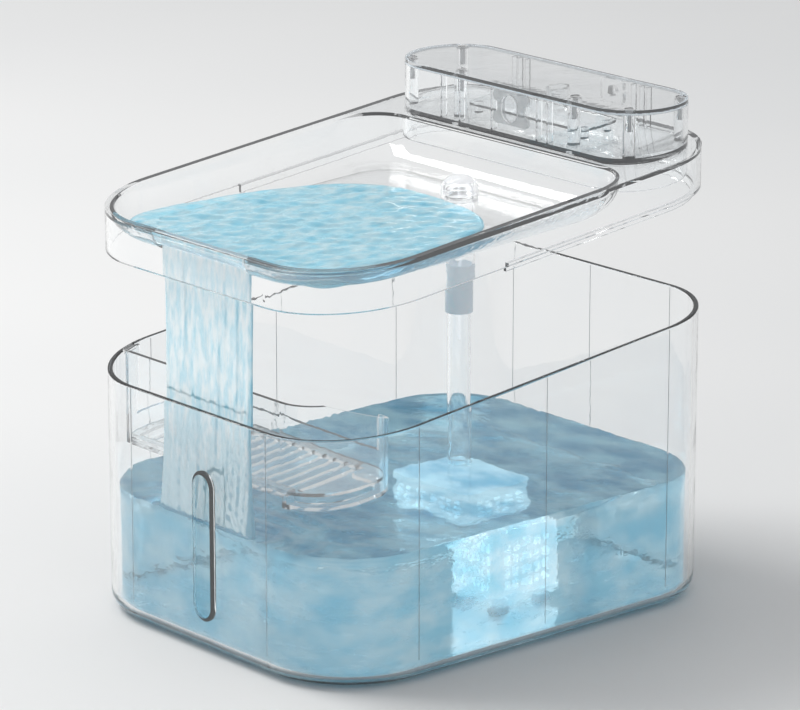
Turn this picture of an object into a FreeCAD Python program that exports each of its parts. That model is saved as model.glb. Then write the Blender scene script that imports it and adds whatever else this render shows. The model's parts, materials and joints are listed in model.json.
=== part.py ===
"""Clear pet water fountain: a sloped tank, a small pump, a filter tray and a drinking tray on a riser.

Millimetres, +Z up. The front, where the water falls, faces -Y. The origin is the centre of the
tank's footprint, on the surface that the fountain stands on. Everything above the tank follows the
slope of its rim, which rises towards the back.
"""
import FreeCAD, Part
import math
import os
import Sketcher

doc = FreeCAD.newDocument("pet_fountain")
Vector = FreeCAD.Vector
X_AXIS, Y_AXIS, Z_AXIS = Vector(1, 0, 0), Vector(0, 1, 0), Vector(0, 0, 1)

# Driving sizes: one plain number each
SIZES = [
    ("tank_width", 192), ("tank_depth", 240), ("corner_front", 48), ("corner_back", 42),
    ("tank_wall", 2.4), ("rim_front_height", 113), ("rim_slope", 6.3), ("rim_round", 0.7),
    ("base_thickness", 3), ("base_round", 8), ("foot_drop", 1),
    ("foot_radius", 8), ("foot_recess", 1), ("foot_inset", 30), ("fit_gap", 0.1),
    ("window_offset", 3), ("window_bottom", 16.5), ("window_top", 83.5), ("window_radius", 6),
    ("window_lip", 1.6), ("window_lip_thickness", 0.9),
    ("hook_notch_width", 8), ("hook_notch_depth", 2.2),
    ("pump_offset_x", 15), ("pump_offset_y", 23.5), ("pump_width", 52), ("pump_depth", 41),
    ("pump_corner", 5), ("cover_inset", 1), ("cover_wall", 1.8), ("cover_top", 52),
    ("slab_height", 8.6), ("slab_roof", 2.5), ("cup_height", 5), ("cup_radius", 6.5),
    ("cup_waist", 3), ("cup_rim", 1), ("cup_hollow_share", 0.6), ("cup_spread_x", 18),
    ("cup_spread_y", 13), ("plate_thickness", 3),
    ("grid_hole", 4), ("grid_pitch", 6.2), ("grid_columns", 7), ("grid_rows", 4),
    ("grid_columns_side", 5), ("grid_margin", 3.4),
    ("riser_offset_x", 0), ("riser_offset_y", 35.2), ("riser_radius", 5.5), ("riser_wall", 1.1),
    ("riser_hole_gap", 0.3), ("riser_lap", 10), ("slide_fit", 0.05),
    ("motor_width", 31), ("motor_depth", 29), ("motor_height", 18), ("motor_shift_x", 5),
    ("motor_shift_y", -1.5), ("motor_corner", 3), ("well_radius", 6.2), ("well_floor", 1.2),
    ("volute_radius", 13.5), ("volute_height", 11), ("volute_wall", 1.6), ("inlet_radius", 4),
    ("duct_bore", 3.1), ("duct_step", 0.4),
    ("shaft_radius", 1.2), ("shaft_seat", 1.1), ("shaft_fit", 0.05), ("rotor_gap", 0.5), ("end_gap", 0.4),
    ("blade_count", 6), ("blade_thickness", 1.2), ("blade_radius", 10.6), ("blade_height", 5.4),
    ("hub_radius", 3.6), ("disc_thickness", 1), ("sponge_gap", 0.4), ("sponge_height", 17.5),
    ("sponge_corner", 2),
    ("channel_depth", 29), ("filter_depth", 48), ("filter_right", 50), ("filter_wall", 1.8),
    ("filter_corner_front", 27), ("filter_corner_back", 14), ("filter_gap", 0.4),
    ("filter_drop", 44), ("filter_well", 4.6), ("filter_well_left", 24), ("filter_floor", 1.6),
    ("filter_top_gap", 0.6), ("filter_back_height", 9), ("filter_side_fall", 17),
    ("hook_thickness", 1.8), ("hook_width", 7), ("ledge_width", 5), ("grille_thickness", 1.6),
    ("slat_slot", 3.4), ("slat_pitch", 8), ("slat_count", 14), ("slat_left", -74), ("slat_margin", 4),
    ("lift_travel", 56), ("seat_gap", 0.3), ("skirt_height", 19), ("skirt_wall", 2.2),
    ("deck_thickness", 2.2), ("lip_depth", 3), ("lip_gap", 0.5), ("lip_wall", 1.6), ("lip_overlap", 1),
    ("lip_front", -20), ("well_ring_depth", 13),
    ("dish_edge", 3.4), ("deck_strip", 2.5), ("dish_wall", 1.8), ("dish_corner_back", 24),
    ("floor_slope", 2.8), ("dish_depth", 17.35),
    ("cove_depth_1", 0.4), ("cove_side_1", 4), ("cove_front_1", 2), ("cove_back_1", 1.5),
    ("cove_depth_2", 0.75), ("cove_side_2", 13), ("cove_front_2", 6), ("cove_back_2", 5),
    ("cove_side_3", 29), ("cove_front_3", 13), ("cove_back_3", 14), ("cove_corner_share", 0.6),
    ("spill_half_width", 32.5), ("spill_inset", 4.4), ("spill_depth", 6), ("spill_rise", 3.3),
    ("boot_length", 23), ("boot_lap", 5), ("boot_wall", 1), ("spigot_bore_gap", 0.3),
    ("spigot_drop", 28.7), ("spigot_lap", 1.9), ("flange_radius", 9), ("flange_thickness", 1.4),
    ("nozzle_radius", 8.6), ("nozzle_dome", 9.3), ("nozzle_cavity", 5.4), ("nozzle_fit", 0.05),
    ("nozzle_port", 2.6), ("nozzle_port_rise", 3), ("stem_radius", 0.8), ("stem_drop", 14),
    ("pod_half_width", 85), ("pod_margin", 8.5), ("pod_depth", 49), ("pod_corner", 24),
    ("pod_wall", 1.8), ("pod_front_height", 24.8), ("pod_slope", 1.8), ("lid_thickness", 1.6),
    ("gasket_thickness", 0.8),
    ("gasket_width", 1.2), ("boss_radius", 3), ("boss_bore", 1.3), ("screw_radius", 1.2), ("screw_head", 2.3),
    ("screw_head_height", 1), ("screw_sink", 1.3), ("screw_length", 9),
    ("boss_inset_x", 10.5), ("boss_spacing", 35.5), ("boss_inset_y", 8.5),
    ("rib_thickness", 1.2), ("rib_depth", 3),
    ("front_rib_a", -45.5), ("front_rib_b", -32.6), ("front_rib_c", -10.3), ("front_rib_d", 20.5),
    ("front_rib_e", 27.6), ("back_rib_a", -44), ("back_rib_b", -40), ("back_rib_c", -35),
    ("back_rib_d", 37.5), ("back_rib_e", 43), ("back_rib_f", 47.5),
    ("cup_x", -8), ("cup_inset", 8), ("cup_outer", 5.5), ("cup_inner", 4.3), ("cup_depth", 11),
    ("port_x", 24), ("port_rise", 13), ("port_radius", 2.6), ("port_half_width", 7.5),
    ("port_half_height", 5.5), ("port_corner", 2.5), ("port_thickness", 2),
    ("sensor_x", 3.2), ("sensor_rise", 14), ("sensor_half_width", 5.4),
    ("sensor_half_height", 6.6), ("bezel_half_width", 12),
    ("bezel_half_height", 8.2), ("bezel_lobe", 3), ("bezel_rim", 1.2), ("bezel_thickness", 1.4),
    ("board_inset_front", 13.5), ("board_inset_back", 14.5), ("board_half_width", 40), ("board_rise", 4),
    ("board_thickness", 1.2), ("board_corner", 3), ("post_radius", 2.2), ("post_inset", 4),
]

# Places worked out from the driving sizes
PLACES = [
    ("half_width", "Sizes.tank_width / 2"),
    ("front", "-Sizes.tank_depth / 2"),
    ("back", "Sizes.tank_depth / 2"),
    ("slope", "tan(Sizes.rim_slope)"),
    ("rim_mid", "Sizes.rim_front_height + slope * back"),
    ("rim_back", "rim_mid + slope * back"),
    ("far", "2 * Sizes.tank_depth"),
    ("sky", "2 * Sizes.tank_depth + Sizes.tank_width"),
    ("blank_height", "rim_back + Sizes.foot_drop"),
    ("tank_floor", "Sizes.foot_drop + Sizes.base_thickness"),
    ("inner_half", "half_width - Sizes.tank_wall"),
    ("inner_front", "front + Sizes.tank_wall"),
    ("inner_back", "back - Sizes.tank_wall"),
    ("inner_corner_front", "Sizes.corner_front - Sizes.tank_wall"),
    ("inner_corner_back", "Sizes.corner_back - Sizes.tank_wall"),
    ("inner_round", "Sizes.base_round - Sizes.tank_wall"),
    ("ground", "0 * Sizes.tank_wall"),
    ("foot_x", "half_width - Sizes.foot_inset"),
    ("foot_y", "back - Sizes.foot_inset"),
    ("foot_hole", "Sizes.foot_radius + Sizes.fit_gap"),
    ("foot_height", "Sizes.foot_drop + Sizes.foot_recess"),
    ("window_low", "Sizes.window_bottom + Sizes.window_radius"),
    ("window_high", "Sizes.window_top - Sizes.window_radius"),
    ("window_plug", "Sizes.window_radius - Sizes.fit_gap / 2"),
    ("window_flange", "Sizes.window_radius + Sizes.window_lip"),
    ("window_depth", "Sizes.tank_wall"),
    ("window_reach", "back + Sizes.tank_wall"),
    ("window_cut", "3 * Sizes.tank_wall"),
    ("filter_front", "front + Sizes.channel_depth"),
    ("filter_back", "filter_front + Sizes.filter_depth"),
    ("notch_centre", "filter_front + Sizes.hook_notch_width / 2"),
    ("notch_back", "filter_front + Sizes.hook_notch_width"),
    ("notch_mid", "rim_mid - Sizes.hook_notch_depth"),
    ("notch_low", "notch_mid + slope * filter_front"),
    ("notch_high", "notch_mid + slope * notch_back"),
    ("pump_left", "Sizes.pump_offset_x - Sizes.pump_width / 2"),
    ("pump_right", "Sizes.pump_offset_x + Sizes.pump_width / 2"),
    ("pump_front", "Sizes.pump_offset_y - Sizes.pump_depth / 2"),
    ("pump_back", "Sizes.pump_offset_y + Sizes.pump_depth / 2"),
    ("cover_left", "pump_left + Sizes.cover_inset"),
    ("cover_right", "pump_right - Sizes.cover_inset"),
    ("cover_front", "pump_front + Sizes.cover_inset"),
    ("cover_back", "pump_back - Sizes.cover_inset"),
    ("cavity_left", "cover_left + Sizes.cover_wall"),
    ("cavity_right", "cover_right - Sizes.cover_wall"),
    ("cavity_front", "cover_front + Sizes.cover_wall"),
    ("cavity_back", "cover_back - Sizes.cover_wall"),
    ("cover_corner", "Sizes.pump_corner - Sizes.cover_inset"),
    ("cavity_corner", "cover_corner - Sizes.cover_wall"),
    ("plate_bottom", "tank_floor + Sizes.cup_height"),
    ("cup_left", "Sizes.pump_offset_x - Sizes.cup_spread_x"),
    ("cup_right", "Sizes.pump_offset_x + Sizes.cup_spread_x"),
    ("cup_front", "Sizes.pump_offset_y - Sizes.cup_spread_y"),
    ("cup_rear", "Sizes.pump_offset_y + Sizes.cup_spread_y"),
    ("cup_hollow", "Sizes.cup_radius - Sizes.cup_rim"),
    ("cup_waist_hollow", "Sizes.cup_waist - Sizes.cup_rim"),
    ("cup_hollow_height", "Sizes.cup_height * Sizes.cup_hollow_share"),
    ("plate_top", "plate_bottom + Sizes.plate_thickness"),
    ("slab_bottom", "Sizes.cover_top - Sizes.slab_height"),
    ("cavity_top", "Sizes.cover_top - Sizes.slab_roof"),
    ("cavity_height", "cavity_top - plate_top"),
    ("skirting_height", "slab_bottom - plate_top"),
    ("grid_first_x", "Sizes.pump_offset_x - (Sizes.grid_columns - 1) * Sizes.grid_pitch / 2"),
    ("grid_first_y", "Sizes.pump_offset_y - (Sizes.grid_columns_side - 1) * Sizes.grid_pitch / 2"),
    ("grid_first_z", "plate_top + Sizes.grid_margin"),
    ("grid_left", "grid_first_x - Sizes.grid_hole / 2"),
    ("grid_right", "grid_first_x + Sizes.grid_hole / 2"),
    ("grid_front", "grid_first_y - Sizes.grid_hole / 2"),
    ("grid_back", "grid_first_y + Sizes.grid_hole / 2"),
    ("grid_low", "grid_first_z"),
    ("grid_high", "grid_first_z + Sizes.grid_hole"),
    ("grid_run_x", "(Sizes.grid_columns - 1) * Sizes.grid_pitch"),
    ("grid_run_y", "(Sizes.grid_columns_side - 1) * Sizes.grid_pitch"),
    ("grid_run_z", "(Sizes.grid_rows - 1) * Sizes.grid_pitch"),
    ("riser_hole", "Sizes.riser_radius + Sizes.riser_hole_gap"),
    ("riser_bore", "Sizes.riser_radius - Sizes.riser_wall"),
    ("riser_bottom", "Sizes.cover_top - Sizes.riser_lap"),
    ("motor_x", "Sizes.pump_offset_x + Sizes.motor_shift_x"),
    ("motor_y", "Sizes.pump_offset_y + Sizes.motor_shift_y"),
    ("motor_left", "motor_x - Sizes.motor_width / 2"),
    ("motor_right", "motor_x + Sizes.motor_width / 2"),
    ("motor_front", "motor_y - Sizes.motor_depth / 2"),
    ("motor_back", "motor_y + Sizes.motor_depth / 2"),
    ("motor_top", "plate_top + Sizes.motor_height"),
    ("well_bottom", "plate_top + Sizes.well_floor"),
    ("well_depth", "motor_top - well_bottom"),
    ("shaft_hole_depth", "well_depth + Sizes.shaft_seat"),
    ("chamber_radius", "Sizes.volute_radius - Sizes.volute_wall"),
    ("chamber_height", "Sizes.volute_height - Sizes.volute_wall"),
    ("chamber_top", "motor_top + chamber_height"),
    ("duct_height", "motor_top + riser_bore"),
    ("duct_outer", "riser_bore - Sizes.duct_step"),
    ("duct_inner", "Sizes.duct_bore - Sizes.duct_step"),
    ("spigot_height", "Sizes.cover_top - motor_top"),
    ("spigot_bore_height", "Sizes.cover_top - duct_height"),
    ("shaft_bottom", "well_bottom - Sizes.shaft_seat"),
    ("shaft_length", "chamber_top - Sizes.end_gap - shaft_bottom"),
    ("rotor_radius", "Sizes.well_radius - Sizes.rotor_gap"),
    ("rotor_bottom", "well_bottom + Sizes.end_gap"),
    ("rotor_length", "motor_top + Sizes.end_gap - rotor_bottom"),
    ("hub_bottom", "motor_top + Sizes.end_gap"),
    ("bearing_radius", "Sizes.shaft_radius + Sizes.shaft_fit"),
    ("blade_half", "Sizes.blade_thickness / 2"),
    ("blade_radius_in", "Sizes.blade_radius - Sizes.blade_thickness / 2"),
    ("hub_height", "Sizes.blade_height + Sizes.disc_thickness"),
    ("sponge_left", "cavity_left + Sizes.sponge_gap"),
    ("sponge_right", "motor_left - Sizes.sponge_gap"),
    ("sponge_front", "cavity_front + Sizes.sponge_gap"),
    ("sponge_back", "Sizes.riser_offset_y - Sizes.riser_radius - Sizes.sponge_gap"),
    ("filter_left", "-inner_half + Sizes.filter_gap"),
    ("filter_arc", "inner_corner_front - Sizes.filter_gap"),
    ("arc_centre_x", "-half_width + Sizes.corner_front"),
    ("arc_centre_y", "front + Sizes.corner_front"),
    ("filter_in_left", "filter_left + Sizes.filter_wall"),
    ("filter_in_arc", "filter_arc - Sizes.filter_wall"),
    ("filter_in_front", "filter_front + Sizes.filter_wall"),
    ("filter_in_back", "filter_back - Sizes.filter_wall"),
    ("filter_in_right", "Sizes.filter_right - Sizes.filter_wall"),
    ("filter_in_corner_front", "Sizes.filter_corner_front - Sizes.filter_wall"),
    ("filter_in_corner_back", "Sizes.filter_corner_back - Sizes.filter_wall"),
    ("opening_left", "filter_in_left + Sizes.ledge_width"),
    ("opening_arc", "filter_in_arc - Sizes.ledge_width"),
    ("opening_front", "filter_in_front + Sizes.ledge_width"),
    ("opening_back", "filter_in_back - Sizes.ledge_width"),
    ("opening_right", "filter_in_right - Sizes.ledge_width"),
    ("opening_corner_front", "filter_in_corner_front - Sizes.ledge_width"),
    ("opening_corner_back", "filter_in_corner_back - Sizes.ledge_width"),
    ("grille_left", "filter_in_left + Sizes.filter_gap"),
    ("grille_arc", "filter_in_arc - Sizes.filter_gap"),
    ("grille_front", "filter_in_front + Sizes.filter_gap"),
    ("grille_back", "filter_in_back - Sizes.filter_gap"),
    ("grille_right", "filter_in_right - Sizes.filter_gap"),
    ("grille_corner_front", "filter_in_corner_front - Sizes.filter_gap"),
    ("grille_corner_back", "filter_in_corner_back - Sizes.filter_gap"),
    ("tray_top_mid", "rim_mid - Sizes.filter_top_gap"),
    ("shallow_mid", "rim_mid - Sizes.filter_drop"),
    ("well_mid", "shallow_mid - Sizes.filter_well"),
    ("shallow_floor_mid", "shallow_mid + Sizes.filter_floor"),
    ("well_floor_mid", "well_mid + Sizes.filter_floor"),
    ("grille_mid", "shallow_floor_mid"),
    ("grille_top_mid", "shallow_floor_mid + Sizes.grille_thickness"),
    ("low_wall_mid", "shallow_floor_mid + Sizes.filter_back_height"),
    ("low_wall_post", "low_wall_mid + slope * post_back"),
    ("side_fall_mid", "tray_top_mid - Sizes.filter_side_fall"),
    ("hook_low_mid", "notch_mid + Sizes.fit_gap"),
    ("hook_high_mid", "notch_mid + Sizes.fit_gap + Sizes.hook_thickness"),
    ("hook_front", "notch_centre - Sizes.hook_width / 2"),
    ("hook_back", "notch_centre + Sizes.hook_width / 2"),
    ("hook_arc", "Sizes.corner_front - Sizes.fit_gap"),
    ("post_back", "notch_back + Sizes.filter_wall"),
    ("side_start", "Sizes.filter_right - Sizes.filter_corner_back"),
    ("well_start", "Sizes.filter_well_left + Sizes.filter_wall"),
    ("post_top", "tray_top_mid + slope * post_back"),
    ("side_low", "side_fall_mid + slope * filter_back"),
    ("slat_front", "grille_front + Sizes.slat_margin"),
    ("slat_length", "grille_back - Sizes.slat_margin - slat_front"),
    ("skirt_mid", "rim_mid + Sizes.lift_travel + Sizes.seat_gap"),
    ("deck_mid", "skirt_mid + Sizes.skirt_height"),
    ("hollow_mid", "deck_mid - Sizes.deck_thickness"),
    ("lip_mid", "skirt_mid - Sizes.lip_depth"),
    ("lip_top_mid", "skirt_mid + Sizes.lip_overlap"),
    ("lip_half", "inner_half - Sizes.lip_gap"),
    ("lip_back", "inner_back - Sizes.lip_gap"),
    ("lip_corner", "inner_corner_back - Sizes.lip_gap"),
    ("lip_in_half", "lip_half - Sizes.lip_wall"),
    ("lip_in_back", "lip_back - Sizes.lip_wall"),
    ("lip_in_corner", "lip_corner - Sizes.lip_wall"),
    ("lip_root_half", "half_width - Sizes.skirt_wall / 2"),
    ("lip_root_back", "back - Sizes.skirt_wall / 2"),
    ("lip_root_corner", "Sizes.corner_back - Sizes.skirt_wall / 2"),
    ("well_ring_mid", "deck_mid - Sizes.well_ring_depth"),
    ("well_ring_top_mid", "deck_mid - Sizes.deck_thickness / 2"),
    ("tray_height", "deck_mid + slope * back"),
    ("skirt_in_half", "half_width - Sizes.skirt_wall"),
    ("skirt_in_front", "front + Sizes.skirt_wall"),
    ("skirt_in_back", "back - Sizes.skirt_wall"),
    ("skirt_in_corner_front", "Sizes.corner_front - Sizes.skirt_wall"),
    ("skirt_in_corner_back", "Sizes.corner_back - Sizes.skirt_wall"),
    ("dish_half", "half_width - Sizes.dish_edge"),
    ("dish_front", "front + Sizes.dish_edge"),
    ("dish_corner_front", "Sizes.corner_front - Sizes.dish_edge"),
    ("spigot_bore", "Sizes.riser_radius + Sizes.spigot_bore_gap"),
    ("boot_bore", "Sizes.riser_radius + Sizes.slide_fit"),
    ("boot_radius", "boot_bore + Sizes.boot_wall"),
    ("spigot_hole", "boot_radius + Sizes.fit_gap / 2"),
    ("floor_slope_rise", "tan(Sizes.floor_slope)"),
    ("floor_mid", "deck_mid - Sizes.dish_depth"),
    ("flange_top", "floor_mid - Sizes.dish_wall - Sizes.fit_gap"
                   " + floor_slope_rise * (Sizes.riser_offset_y - Sizes.flange_radius)"),
    ("flange_bottom", "flange_top - Sizes.flange_thickness"),
    ("boot_top", "flange_bottom - Sizes.spigot_drop"),
    ("boot_bottom", "boot_top - Sizes.boot_length"),
    ("spigot_length", "nozzle_bottom + Sizes.spigot_lap - boot_top"),
    ("riser_length", "boot_bottom + Sizes.boot_lap - riser_bottom"),
    ("nozzle_bottom", "floor_mid + floor_slope_rise * (Sizes.riser_offset_y + Sizes.nozzle_radius)"
                      " + Sizes.seat_gap"),
    ("nozzle_bore", "boot_radius + Sizes.nozzle_fit"),
    ("nozzle_port_height", "nozzle_bottom + Sizes.nozzle_port_rise"),
    ("stem_start", "boot_bottom - Sizes.stem_drop + Sizes.stem_radius"),
    ("stem_length", "nozzle_bottom + Sizes.nozzle_cavity - stem_start"),
    ("hole_low", "floor_mid - Sizes.skirt_height"),
    ("hole_height", "2 * Sizes.skirt_height"),
    ("pod_back", "back - Sizes.pod_margin"),
    ("pod_front", "pod_back - Sizes.pod_depth"),
    ("dish_back", "pod_front - Sizes.deck_strip"),
    ("spill_front", "front + Sizes.spill_inset"),
    ("spill_back", "spill_front + Sizes.spill_depth"),
    ("spill_top", "floor_mid + Sizes.spill_rise"),
    ("pod_floor_mid", "deck_mid"),
    ("pod_rise", "tan(Sizes.pod_slope)"),
    ("boss_outer", "Sizes.pod_half_width - Sizes.boss_inset_x"),
    ("boss_inner", "boss_outer - Sizes.boss_spacing"),
    ("boss_front", "pod_front + Sizes.boss_inset_y"),
    ("boss_back", "pod_back - Sizes.boss_inset_y"),
    ("lid_crown", "deck_mid + slope * pod_front + Sizes.pod_front_height - pod_rise * pod_front"),
    ("gasket_crown", "lid_crown - Sizes.lid_thickness"),
    ("pod_crown", "gasket_crown - Sizes.gasket_thickness"),
    ("pod_in_half", "Sizes.pod_half_width - Sizes.pod_wall"),
    ("pod_in_front", "pod_front + Sizes.pod_wall"),
    ("pod_in_back", "pod_back - Sizes.pod_wall"),
    ("pod_in_corner", "Sizes.pod_corner - Sizes.pod_wall"),
    ("pod_floor_top_mid", "pod_floor_mid + Sizes.pod_wall"),
    ("gasket_half", "Sizes.pod_half_width - (Sizes.pod_wall - Sizes.gasket_width) / 2"),
    ("gasket_front", "pod_front + (Sizes.pod_wall - Sizes.gasket_width) / 2"),
    ("gasket_back", "pod_back - (Sizes.pod_wall - Sizes.gasket_width) / 2"),
    ("gasket_corner", "Sizes.pod_corner - (Sizes.pod_wall - Sizes.gasket_width) / 2"),
    ("gasket_in_half", "gasket_half - Sizes.gasket_width"),
    ("gasket_in_front", "gasket_front + Sizes.gasket_width"),
    ("gasket_in_back", "gasket_back - Sizes.gasket_width"),
    ("gasket_in_corner", "gasket_corner - Sizes.gasket_width"),
    ("sensor_height", "deck_mid + slope * pod_front + Sizes.sensor_rise"),
    ("sensor_low", "sensor_height - Sizes.sensor_half_height + Sizes.sensor_half_width"),
    ("sensor_high", "sensor_height + Sizes.sensor_half_height - Sizes.sensor_half_width"),
    ("sensor_plug", "Sizes.sensor_half_width - Sizes.fit_gap / 2"),
    ("bezel_x_left", "Sizes.sensor_x - Sizes.bezel_half_width + Sizes.bezel_lobe"),
    ("bezel_x_right", "Sizes.sensor_x + Sizes.bezel_half_width - Sizes.bezel_lobe"),
    ("bezel_z_low", "sensor_height - Sizes.bezel_half_height + Sizes.bezel_lobe"),
    ("bezel_z_high", "sensor_height + Sizes.bezel_half_height - Sizes.bezel_lobe"),
    ("bezel_low", "sensor_height - Sizes.sensor_half_height - Sizes.bezel_rim"),
    ("bezel_high", "sensor_height + Sizes.sensor_half_height + Sizes.bezel_rim"),
    ("head_front", "lid_crown + pod_rise * boss_front - Sizes.screw_sink"),
    ("head_back", "lid_crown + pod_rise * boss_back - Sizes.screw_sink"),
    ("shank_front", "head_front - Sizes.screw_length"),
    ("shank_back", "head_back - Sizes.screw_length"),
    ("sink_radius", "Sizes.screw_head + Sizes.fit_gap"),
    ("board_front", "pod_front + Sizes.board_inset_front"),
    ("board_back", "pod_back - Sizes.board_inset_back"),
    ("post_x", "Sizes.board_half_width - Sizes.post_inset"),
    ("post_front", "board_front + Sizes.post_inset"),
    ("post_rear", "board_back - Sizes.post_inset"),
    ("cup_y", "pod_back - Sizes.cup_inset"),
    ("cup_floor_mid", "pod_floor_mid + Sizes.cup_depth"),
    ("port_height", "deck_mid + slope * pod_back + Sizes.port_rise"),
    ("port_left", "Sizes.port_x - Sizes.port_half_width"),
    ("port_right", "Sizes.port_x + Sizes.port_half_width"),
    ("port_low", "port_height - Sizes.port_half_height"),
    ("port_high", "port_height + Sizes.port_half_height"),
    ("port_front", "pod_in_back - Sizes.port_thickness"),
    ("port_reach", "Sizes.port_thickness + Sizes.pod_wall"),
    ("lens_back", "pod_in_front"),
    ("bezel_cut", "pod_in_front + 2 * Sizes.bezel_thickness"),
    ("rib_length", "Sizes.rib_depth + Sizes.pod_wall / 2"),
    ("front_rib_start", "pod_in_front - Sizes.pod_wall / 2"),
    ("back_rib_start", "pod_in_back - Sizes.rib_depth"),
    ("board_floor_mid", "pod_floor_top_mid + Sizes.board_rise"),
    ("board_top_mid", "board_floor_mid + Sizes.board_thickness"),
]


# The dish's sections from its edge down to its floor, inside and, one wall further out, outside
PLACES += [
    (f"bowl_{name}_{step}{side}", formula + (f" {sign} Sizes.dish_wall" if side else ""))
    for step in range(4)
    for side in ("", "_out")
    for name, sign, formula in (
        ("half", "+", "dish_half" + (f" - Sizes.cove_side_{step}" if step else "")),
        ("front", "-", "dish_front" + (f" + Sizes.cove_front_{step}" if step else "")),
        ("back", "+", "dish_back" + (f" - Sizes.cove_back_{step}" if step else "")),
        ("corner", "+", "dish_corner_front"
         + (f" - Sizes.cove_corner_share * Sizes.cove_side_{step}" if step else "")),
        ("rear_corner", "+", "Sizes.dish_corner_back"
         + (f" - Sizes.cove_corner_share * Sizes.cove_back_{step}" if step else "")),
    )
]
COVE_SHARES = ["0", "Sizes.cove_depth_1", "Sizes.cove_depth_2", "1"]
PLACES += [
    row
    for step, share in enumerate(COVE_SHARES)
    for row in (
        (f"bowl_tilt_{step}", f"Sizes.rim_slope + {share} * (Sizes.floor_slope - Sizes.rim_slope)"),
        (f"bowl_height_{step}", f"deck_mid + {share} * (floor_mid - deck_mid)"
         + ("" if step else " + Sizes.fit_gap")),
        (f"bowl_height_{step}_out", f"deck_mid + {share} * (floor_mid - deck_mid)"
         " - Sizes.dish_wall" + ("" if step else " / 2")),
    )
]

# Where each sloping plane, named by its height at mid depth, stands far in front and far behind
PLACES += [("ground_mid", "-far"), ("sky_mid", "sky")]
PLACES += [
    row
    for suffix, rise in (("_mid", "slope"), ("_crown", "pod_rise"))
    for plane in [name for name, _ in PLACES if name.endswith(suffix)]
    for row in ((f"{plane}_front", f"{plane} - {rise} * far"), (f"{plane}_back", f"{plane} + {rise} * far"))
]


def fill_sheet(name, rows, formula):
    """Make a spreadsheet with one aliased cell for each row."""
    sheet = doc.addObject("Spreadsheet::Sheet", name)
    for line, (alias, content) in enumerate(rows, start=1):
        sheet.set(f"A{line}", alias)
        sheet.set(f"B{line}", f"={content}" if formula else str(content))
        sheet.setAlias(f"B{line}", alias)
    return sheet


sizes = fill_sheet("Sizes", SIZES, formula=False)
places = fill_sheet("Places", PLACES, formula=True)
doc.recompute()
SIZE_NAMES = {alias for alias, _ in SIZES}
if SIZE_NAMES & {alias for alias, _ in PLACES}:
    raise RuntimeError("a size and a place share a name")


def cell(name):
    """The expression that reads one alias, with an optional leading minus sign."""
    sign, alias = ("-", name[1:]) if name.startswith("-") else ("", name)
    return f"{sign}Sizes.{alias}" if alias in SIZE_NAMES else f"{sign}Places.{alias}"


def amount(name):
    """The present value of one alias, in millimetres or degrees."""
    sign, alias = (-1, name[1:]) if name.startswith("-") else (1, name)
    sheet = sizes if alias in SIZE_NAMES else places
    return sign * float(sheet.get(alias))


# Sketches

def datum(sketch, kind, name, *where):
    """Add a dimension to a sketch and tie it to a cell."""
    index = sketch.addConstraint(Sketcher.Constraint(kind, *where, amount(name)))
    sketch.setExpression(f"Constraints[{index}]", cell(name))


def lay_out(sketch, geometry):
    """Add lines and arcs and return their numbers."""
    return [sketch.addGeometry(item, False) for item in geometry]


def rounded(sketch, left, right, low, high, corner_low, corner_high):
    """A rectangle with tangent corner arcs; low and high are its sides along the second axis."""
    x0, x1, y0, y1 = (amount(name) for name in (left, right, low, high))
    r0, r1 = amount(corner_low), amount(corner_high)

    def line(ax, ay, bx, by):
        return Part.LineSegment(Vector(ax, ay, 0), Vector(bx, by, 0))

    def arc(cx, cy, radius, start):
        circle = Part.Circle(Vector(cx, cy, 0), Z_AXIS, radius)
        return Part.ArcOfCircle(circle, math.radians(start), math.radians(start + 90))

    ids = lay_out(sketch, [
        line(x0 + r0, y0, x1 - r0, y0), arc(x1 - r0, y0 + r0, r0, -90),
        line(x1, y0 + r0, x1, y1 - r1), arc(x1 - r1, y1 - r1, r1, 0),
        line(x1 - r1, y1, x0 + r1, y1), arc(x0 + r1, y1 - r1, r1, 90),
        line(x0, y1 - r1, x0, y0 + r0), arc(x0 + r0, y0 + r0, r0, 180),
    ])
    for this, following in zip(ids, ids[1:] + ids[:1]):
        sketch.addConstraint(Sketcher.Constraint("Tangent", this, 2, following, 1))
    for kind, which in (("Horizontal", 0), ("Vertical", 2), ("Horizontal", 4), ("Vertical", 6)):
        sketch.addConstraint(Sketcher.Constraint(kind, ids[which]))
    for which, name in ((1, corner_low), (7, corner_low), (3, corner_high), (5, corner_high)):
        datum(sketch, "Radius", name, ids[which])
    datum(sketch, "DistanceX", right, -1, 1, ids[2], 1)
    datum(sketch, "DistanceX", left, -1, 1, ids[6], 1)
    datum(sketch, "DistanceY", low, -1, 1, ids[0], 1)
    datum(sketch, "DistanceY", high, -1, 1, ids[4], 1)


def polygon(sketch, corners):
    """Straight sides through corners given as pairs of aliases."""
    points = [Vector(amount(a), amount(b), 0) for a, b in corners]
    ids = lay_out(sketch, [Part.LineSegment(p, q) for p, q in zip(points, points[1:] + points[:1])])
    for this, following in zip(ids, ids[1:] + ids[:1]):
        sketch.addConstraint(Sketcher.Constraint("Coincident", this, 2, following, 1))
    for which, (a, b) in zip(ids, corners):
        datum(sketch, "DistanceX", a, -1, 1, which, 1)
        datum(sketch, "DistanceY", b, -1, 1, which, 1)


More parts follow.
